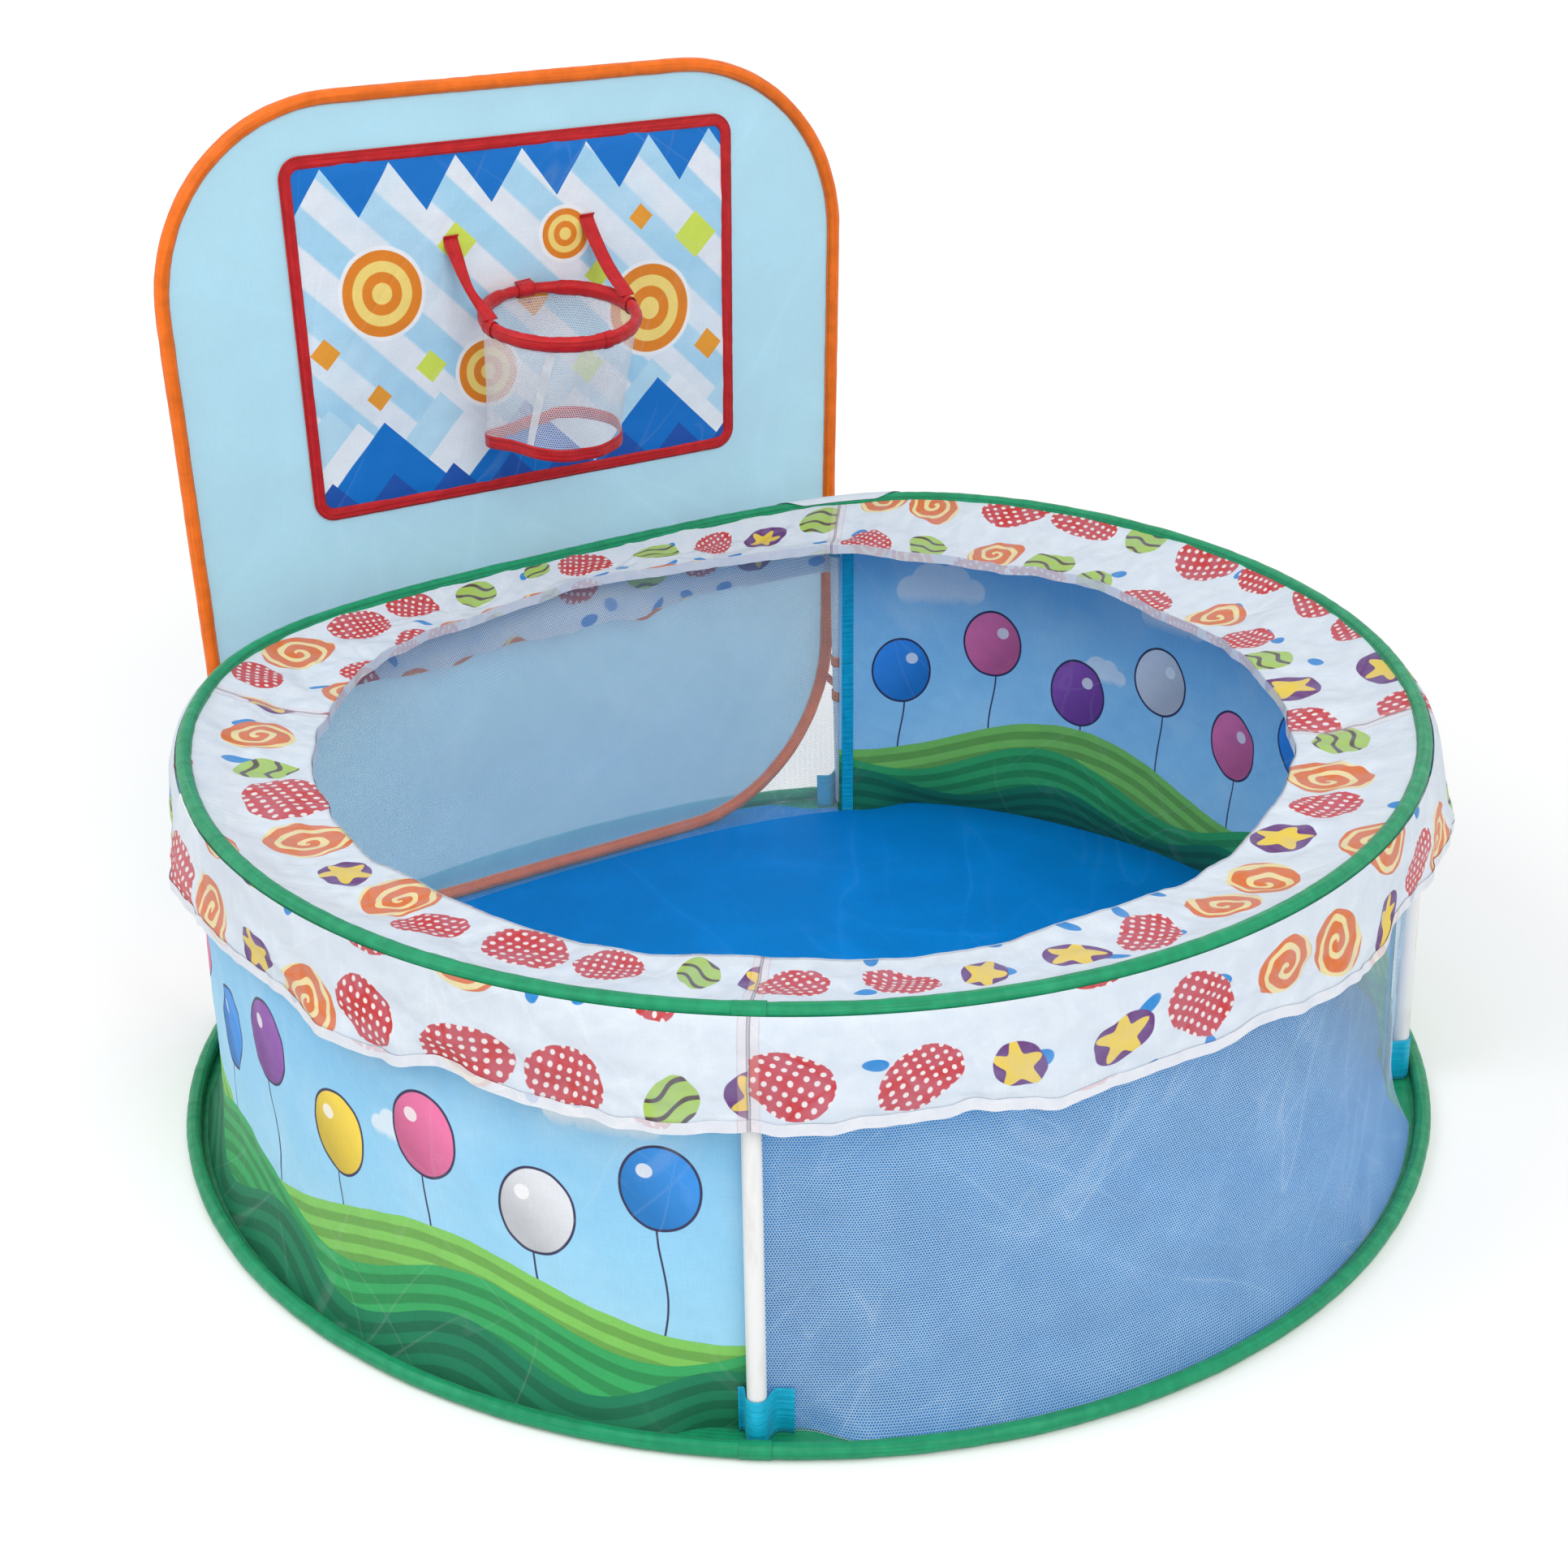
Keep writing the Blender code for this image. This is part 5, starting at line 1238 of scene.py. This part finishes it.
PANEL_STEPS = 141
edge, _ = outline(2 * BINDING_RADIUS - 0.0010, 900)
plan, ring = fill(edge[:, [0, 2]], PANEL_STEPS)
spots = np.concatenate([plan, 0 * plan[..., :1]], axis=-1)
slack = np.clip((1 - ring) / 0.12, 0, 1)
puckers = 0.0010 * rumple(spots * (1 / 0.018, 1 / 0.018, 1), 3.0) * np.clip((1 - ring) / 0.02, 0, 1)
ripple = 0.0035 * rumple(spots / 0.16, 5.0) * slack + puckers * np.clip(1 - slack, 0.25, 1)
panel_points = np.stack([plan[..., 0], np.clip(ripple, -0.0008, 0.0035), plan[..., 1]], axis=-1)
board_panel = sew("board_panel_cloth", to_world(panel_points), plan=plan)
dress(board_panel, "backboard", panel_cloth(), "board_panel")

# ---- Target -------------------------------------------------------------------
# A printed cloth sewn to the panel behind the net hoop, with a red tape round its edge.
# The print has blue peaks and pennants, orange rings and diamonds on slanting bands.
TARGET_WIDTH = 0.500
TARGET_HEIGHT = 0.363
TARGET_BOTTOM = 0.458
TARGET_CORNER = 0.022
PRINT_FACE = 0.00205
TAPE_RED = (0.56, 0.008, 0.012)
PEAK_BLUE = (0.0, 0.175, 0.60)
LIME_INK = (0.66, 0.80, 0.10)
ORANGE_INK = (0.86, 0.35, 0.03)
RING_ORANGE = (0.80, 0.24, 0.015)
RING_CREAM = (0.95, 0.72, 0.20)
DIAMONDS = [
    ((-0.070, 0.262), 0.022, LIME_INK), ((-0.222, 0.170), 0.016, ORANGE_INK),
    ((-0.108, 0.142), 0.017, LIME_INK), ((0.012, 0.196), 0.019, ORANGE_INK),
    ((0.088, 0.212), 0.016, LIME_INK), ((0.205, 0.240), 0.025, LIME_INK),
    ((0.218, 0.120), 0.017, ORANGE_INK), ((0.070, 0.118), 0.020, LIME_INK),
    ((-0.168, 0.118), 0.014, ORANGE_INK), ((0.140, 0.266), 0.014, ORANGE_INK),
]
RINGS = [
    ((-0.155, 0.222), 0.043), ((0.148, 0.168), 0.047), ((0.052, 0.258), 0.026), ((-0.045, 0.128), 0.033),
]
SLANT_PITCH = 0.085
PENNANT = 0.036


def throw_print():
    """The target's print: slanting bands, peaks, a row of pennants, rings and diamonds."""
    made, tree, shader, cloth, raised = blank("printed_target_cloth", 0.50, 0.04, 0.0012)
    x, y = (node(tree, "SeparateXYZ", Vector=cloth).outputs[k] for k in ("X", "Y"))
    slant = calc(tree, "MULTIPLY", calc(tree, "ADD", x, y), 2 * math.pi / SLANT_PITCH)
    bands = ramp(tree, calc(tree, "SINE", slant), -0.15, 0.15)
    colour = mixed(tree, bands, (0.40, 0.70, 0.90), (0.82, 0.87, 0.93))
    wash = node(tree, "TexNoise", Vector=cloth, Scale=11.0, Detail=2.0).outputs["Fac"]
    colour = mixed(tree, ramp(tree, wash, 0.42, 0.72, 0.0, 0.5), colour, (0.60, 0.80, 0.93))
    for low, width, start, tint in (
        (0.052, 0.062, 0.030, (0.50, 0.77, 0.92)), (0.034, 0.062, 0.000, (0.84, 0.90, 0.95)),
        (0.012, 0.080, 0.045, PEAK_BLUE), (0.004, 0.034, 0.010, (0.01, 0.09, 0.42)),
    ):
        peak = calc(tree, "PINGPONG", calc(tree, "ADD", x, 1.0 + start), width)
        colour = mixed(tree, inside(tree, y, calc(tree, "ADD", peak, low)), colour, tint)
    from_top = calc(tree, "SUBTRACT", TARGET_HEIGHT, y)
    hanging = calc(tree, "PINGPONG", calc(tree, "ADD", x, 1.0), PENNANT)
    hanging = calc(tree, "MULTIPLY_ADD", hanging, 1.4, 0.014)
    colour = mixed(tree, inside(tree, from_top, hanging), colour, PEAK_BLUE)
    for place, size in RINGS:
        reach = local(tree, cloth, (*place, 0.0))[3]
        hoops = calc(tree, "SINE", calc(tree, "MULTIPLY", reach, 4 * math.pi / size))
        body = mixed(tree, ramp(tree, hoops, -0.1, 0.1), RING_ORANGE, RING_CREAM)
        colour = mixed(tree, inside(tree, reach, size + 0.0042), colour, (0.90, 0.92, 0.94))
        colour = mixed(tree, inside(tree, reach, size), colour, body)
    for place, size, tint in DIAMONDS:
        _, off_x, off_y, _, _ = local(tree, cloth, (*place, 0.0))
        off = calc(tree, "ADD", calc(tree, "ABSOLUTE", off_x), calc(tree, "ABSOLUTE", off_y))
        colour = mixed(tree, inside(tree, off, size), colour, tint)
    threads = use(tree, plain_weave, Cloth=cloth, Pitch=0.0006)
    creases = use(tree, pack_creases, Cloth=cloth, Size=0.050)
    fine = use(tree, pack_creases, Cloth=cloth, Size=0.018)
    colour = mixed(tree, calc(tree, "MULTIPLY", creases["Fold"], 0.06), colour, (0.85, 0.9, 0.95))
    colour = mixed(tree, ramp(tree, threads["Shade"], 0.42, 0.58, 0.0, 0.05), colour, (0.05, 0.05, 0.1))
    tree.links.new(colour, shader.inputs["Base Color"])
    tree.links.new(ramp(tree, threads["Shade"], 0.4, 0.6, 0.44, 0.56), shader.inputs["Roughness"])
    lift = calc(tree, "MULTIPLY_ADD", fine["Height"], 0.35, creases["Height"])
    tree.links.new(calc(tree, "MULTIPLY_ADD", threads["Height"], 0.04, lift), raised.inputs["Height"])
    return made


def target_edge(inset, count):
    pairs = rounded(
        TARGET_WIDTH - 2 * inset, TARGET_BOTTOM + inset, TARGET_BOTTOM + TARGET_HEIGHT - inset,
        TARGET_CORNER - inset, 8,
    )
    return evenly(pairs, count)


pairs, ring = fill(target_edge(0.002, 700), 121)
spots = np.concatenate([pairs, 0 * pairs[..., :1]], axis=-1)
lift = 0.0030 * (rumple(spots / 0.085, 2.0) + 0.6) * np.clip((1 - ring) / 0.10, 0, 1)
lift += 0.0008 * rumple(spots / 0.020, 4.0) * np.clip((1 - ring) / 0.04, 0, 1)
lift = np.clip(lift, 0.0, 0.0045)
on_board = board_point(pairs)
on_board[..., 1] = -(PRINT_FACE + lift)
target_cloth = sew("target_cloth", to_world(on_board), plan=pairs - (0.0, TARGET_BOTTOM))
dress(target_cloth, "backboard", throw_print(), "target_print")

tape_rows = []
for inset, stand in (
    (-0.0003, 0.0004), (0.0004, 0.0014), (0.0030, 0.0018), (0.0062, 0.0016),
    (0.0095, 0.0019), (0.0118, 0.0014), (0.0124, 0.0003),
):
    pairs = target_edge(inset, 1000)
    line = board_point(pairs)
    flat_spots = np.concatenate([pairs, 0 * pairs[:, :1]], axis=-1)
    line[:, 1] = -(PRINT_FACE + stand + 0.0005 * rumple(flat_spots / 0.011, 1.0) + 0.0003)
    tape_rows.append(to_world(line))
red_tape = satin("red_tape", TAPE_RED, 0.40, 0.014, seam=0.0028)
target_tape = sew("target_tape_cloth", np.array(tape_rows), round_columns=True)
dress(target_tape, "backboard", red_tape, "target_tape")

# ---- Net hoop -----------------------------------------------------------------
# A small sprung ring in a red satin sleeve, tied to the board by a tape loop and held
# out level by two tapes. A short open sleeve of fine white net hangs from it, and ends
# in a red tape.
RIM_RADIUS = 0.076
RIM_SLEEVE = 0.0058
RIM_DIP = math.radians(6.5)
RIM_STAND = 0.00905            # how far the ring's rear stands off the board's middle
RIM_HEIGHT = 0.644
RIM_PLACE = BOARD_PLACE @ Matrix.Translation((0.0, -RIM_STAND, RIM_HEIGHT))
RIM_FRONT = np.array([0, -math.cos(RIM_DIP), -math.sin(RIM_DIP)])
RIM_UP = np.array([0, -math.sin(RIM_DIP), math.cos(RIM_DIP)])
ACROSS = np.array([1.0, 0, 0])
NET_LENGTH = 0.110
NET_TAPER = 0.86
NET_FOLDS = 4
NET_FOLD_DEPTH = 0.003
NET_LEAN = 0.012               # its foot hangs a little to the left


def rim_points(angles, radius=RIM_RADIUS, drop=0.0):
    """Points on the dipped ring: 0 is its right side and a quarter turn its front."""
    out = np.cos(angles)[..., None] * ACROSS + np.sin(angles)[..., None] * RIM_FRONT
    points = RIM_FRONT * RIM_RADIUS + out * np.asarray(radius, float)[..., None]
    points[..., 2] -= drop
    return points, out


RIM_TALL = 1.42                # its band stands this much higher than it is thick
rim_turn = np.array(RIM_PLACE)[:3, :3]


def rim_binding(name, angles, radius, ends):
    """The ring's binding, or a lap on it: a tall flat band, but round inside its tab."""
    path, out = rim_points(angles, np.full(len(angles), RIM_RADIUS))
    in_tab = smooth((-np.sin(angles) - 0.86) / 0.10)
    band = bind(
        name, to_world(path, RIM_PLACE), out @ rim_turn.T, rim_turn @ RIM_UP, radius, 0.08, 0.007,
        ends=ends, tall=RIM_TALL + (1 - RIM_TALL) * in_tab,
    )
    return dress(band, "net_hoop", red_tape, "rim_sleeve")


angles = math.pi / 2 + np.linspace(0, 2 * math.pi, 420, endpoint=False)
rim_ring = rim_binding("rim_sleeve_cloth", angles, RIM_SLEEVE * 0.97, False)
for name, middle, half in (
    ("rim_lap_front", 1.40, 0.06), ("rim_lap_right", 0.0, 0.11), ("rim_lap_left", math.pi, 0.11),
):
    rim_binding(name, np.linspace(middle - half, middle + half, 14), RIM_SLEEVE * 1.12, True)


def net_points(angles, share, below=0.0, stand=0.0):
    """The net: share is 0 under the ring and 1 at its foot."""
    angles, share = np.broadcast_arrays(angles, np.asarray(share, float))
    fold = NET_FOLD_DEPTH * share * np.sin(NET_FOLDS * angles)
    place = np.stack([np.cos(angles), np.sin(angles), 0.5 * share], axis=-1)
    limp = 0.0035 * share * rumple(place * 2.2, 3.0) - 0.001 * share
    kinks = 0.0045 * share ** 2 * (np.abs(np.cos(2.5 * angles + 0.7)) - 0.6)
    radius = RIM_RADIUS * (1 + (NET_TAPER - 1) * share) + fold + limp + kinks + stand
    hang = RIM_SLEEVE - 0.0005 + 0.0030 * smooth((-np.sin(angles) - 0.90) / 0.06)
    points, _ = rim_points(angles, radius, hang + below)
    foot = RIM_FRONT[2] * RIM_RADIUS - hang - below - NET_LENGTH + 0.0040 * np.sin(2.0 * angles + 2.4)
    points[..., 2] += (foot - points[..., 2]) * share
    points[..., 0] -= NET_LEAN * share
    return to_world(points, RIM_PLACE)


white_net = mesh_cloth("white_net", (0.88, 0.90, 0.94), 0.0024, 0.62, 0.04)
angles = np.linspace(0, 2 * math.pi, 260, endpoint=False)[None, :]
net_rows = np.array([net_points(angles, share)[0] for share in np.linspace(0, 1, 60)])
net_cloth = sew("net_cloth", net_rows, round_columns=True)
dress(net_cloth, "net_hoop", white_net, "net")
hem_rows = [net_points(angles, 1.0, drop, stand)[0] for drop, stand in (
    (-0.0004, 0.0), (0.0, 0.0008), (0.003, 0.0012), (0.006, 0.0010), (0.009, 0.0012), (0.012, 0.0009),
    (0.0124, 0.0), (0.012, -0.0006), (0.006, -0.0006), (0.0, -0.0006),
)]
net_foot = sew("net_hem_cloth", np.array(hem_rows), True, True)
dress(net_foot, "net_hoop", red_tape, "net_hem")
# where the net's two ends are sewn together they lie double
shares = np.linspace(0.03, 0.99, 40)
seam_rows = []
for off in (-0.06, -0.035, 0.0, 0.035, 0.06):
    seam_rows.append(net_points(2.15 + 0.28 * shares + off, shares, 0.0, 0.0007))
net_seam = sew("net_seam_cloth", np.array(seam_rows))
dress(net_seam, "net_hoop", mesh_cloth("white_net_doubled", (0.88, 0.90, 0.94), 0.0011, 0.95, 0.60), "net")
for piece in (net_cloth, net_foot, net_seam):
    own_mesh(piece)

STRAP_WIDTH = 0.0158
STRAP_RISE = 0.060
STRAP_PATCH = 0.009
for side, angle in (("right", 0.0), ("left", math.pi)):
    ring_point = rim_points(np.array([angle]), np.array([RIM_RADIUS]))[0][0]
    ring_point = ring_point + (0, -RIM_STAND, RIM_HEIGHT)
    low = ring_point + RIM_UP * (RIM_SLEEVE * RIM_TALL)
    face = -(PRINT_FACE + 0.0046)
    seam = np.array([low[0], face, low[2] + STRAP_RISE - 0.0025])
    sway = np.array([0.0, 0.002, -0.006]) * (1 if side == "right" else 1.6)
    path = catmull([low, low + (seam - low) * 0.5 + sway, seam, seam + (0, 0, STRAP_PATCH)], 60)
    twist = np.sin(np.linspace(math.pi, 0, 60) ** 1.6 / math.pi ** 0.6) * (0.25 if side == "right" else 1.0)
    across = np.cos(twist)[:, None] * ACROSS + np.sin(twist)[:, None] * np.array([0, 0.75, 0.66])
    world_across = across @ turn_only.T
    strap = ribbon(
        "rim_strap_" + side + "_cloth", to_world(path), world_across, STRAP_WIDTH, 0.0009, 6, 0.0004,
    )
    strap.data.materials.append(red_tape)
    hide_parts("rim_strap_" + side)
    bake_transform(strap)

turns = np.linspace(0, math.pi, 13)
tab_reach = RIM_SLEEVE + 0.0012
tab_face = -PRINT_FACE - 0.0007
tab_path = [(0, tab_face, RIM_HEIGHT + tab_reach + flap) for flap in (0.009, 0.002)]
for turn in turns:
    tab_path.append((0, -RIM_STAND - tab_reach * math.sin(turn), RIM_HEIGHT + tab_reach * math.cos(turn)))
tab_path += [(0, tab_face, RIM_HEIGHT - tab_reach - flap) for flap in (0.002, 0.009)]
tab = ribbon("rim_tab_cloth", to_world(catmull(tab_path, 60)), turn_only @ ACROSS, 0.018, 0.0008, 6)
dress(tab, "backboard", red_tape, "rim_tab")

# ---- Ties ---------------------------------------------------------------------
# Two pairs of orange satin ties hold the board's frame to the rear poles. Each runs
# from round the frame's binding straight to a pole and most of the way round it.
TIE_WIDTH = 0.012
TIE_HEIGHTS = {"low": 0.148, "high": 0.193}


def frame_side(side, height):
    """Where the frame's wire passes a height, on its right (1) or left (-1) side."""
    corner = BOARD_CORNER - BINDING_RADIUS
    below = max(0.0, BOARD_CORNER - height)
    across = BOARD_WIDTH / 2 - BOARD_CORNER + math.sqrt(corner ** 2 - below ** 2)
    return to_world(board_point((side * across, height - BOARD_BOTTOM)))


for side, corner in ((1, "rear_right"), (-1, "rear_left")):
    foot, head = (np.array(end) for end in POLES[corner])
    upright = (head - foot) / np.linalg.norm(head - foot)
    for level_name, height in TIE_HEIGHTS.items():
        pole = foot + (head - foot) * (height - foot[2]) / (head[2] - foot[2])
        edge_at = frame_side(side, height)
        way = math.atan2(pole[1] - edge_at[1], pole[0] - edge_at[0])
        near, far = BINDING_RADIUS + 0.0030, POLE_RADIUS + 0.0011
        path = []
        for middle, reach, turn in (
            (edge_at, near, way + side * 1.75), (edge_at, near, way + side * 1.35),
            *[(pole, far, way + side * (1.35 - 4.7 * i / 16)) for i in range(17)],
        ):
            spot = (middle[0] + reach * math.cos(turn), middle[1] + reach * math.sin(turn), pole[2])
            path.append(spot)
        tie = ribbon(
            "board_tie_" + corner + "_" + level_name + "_cloth", catmull(path, 110), upright,
            TIE_WIDTH, 0.0008, 6, 0.0003,
        )
        dress(tie, "pole_" + corner, orange_satin, "board_tie_" + corner + "_" + level_name)
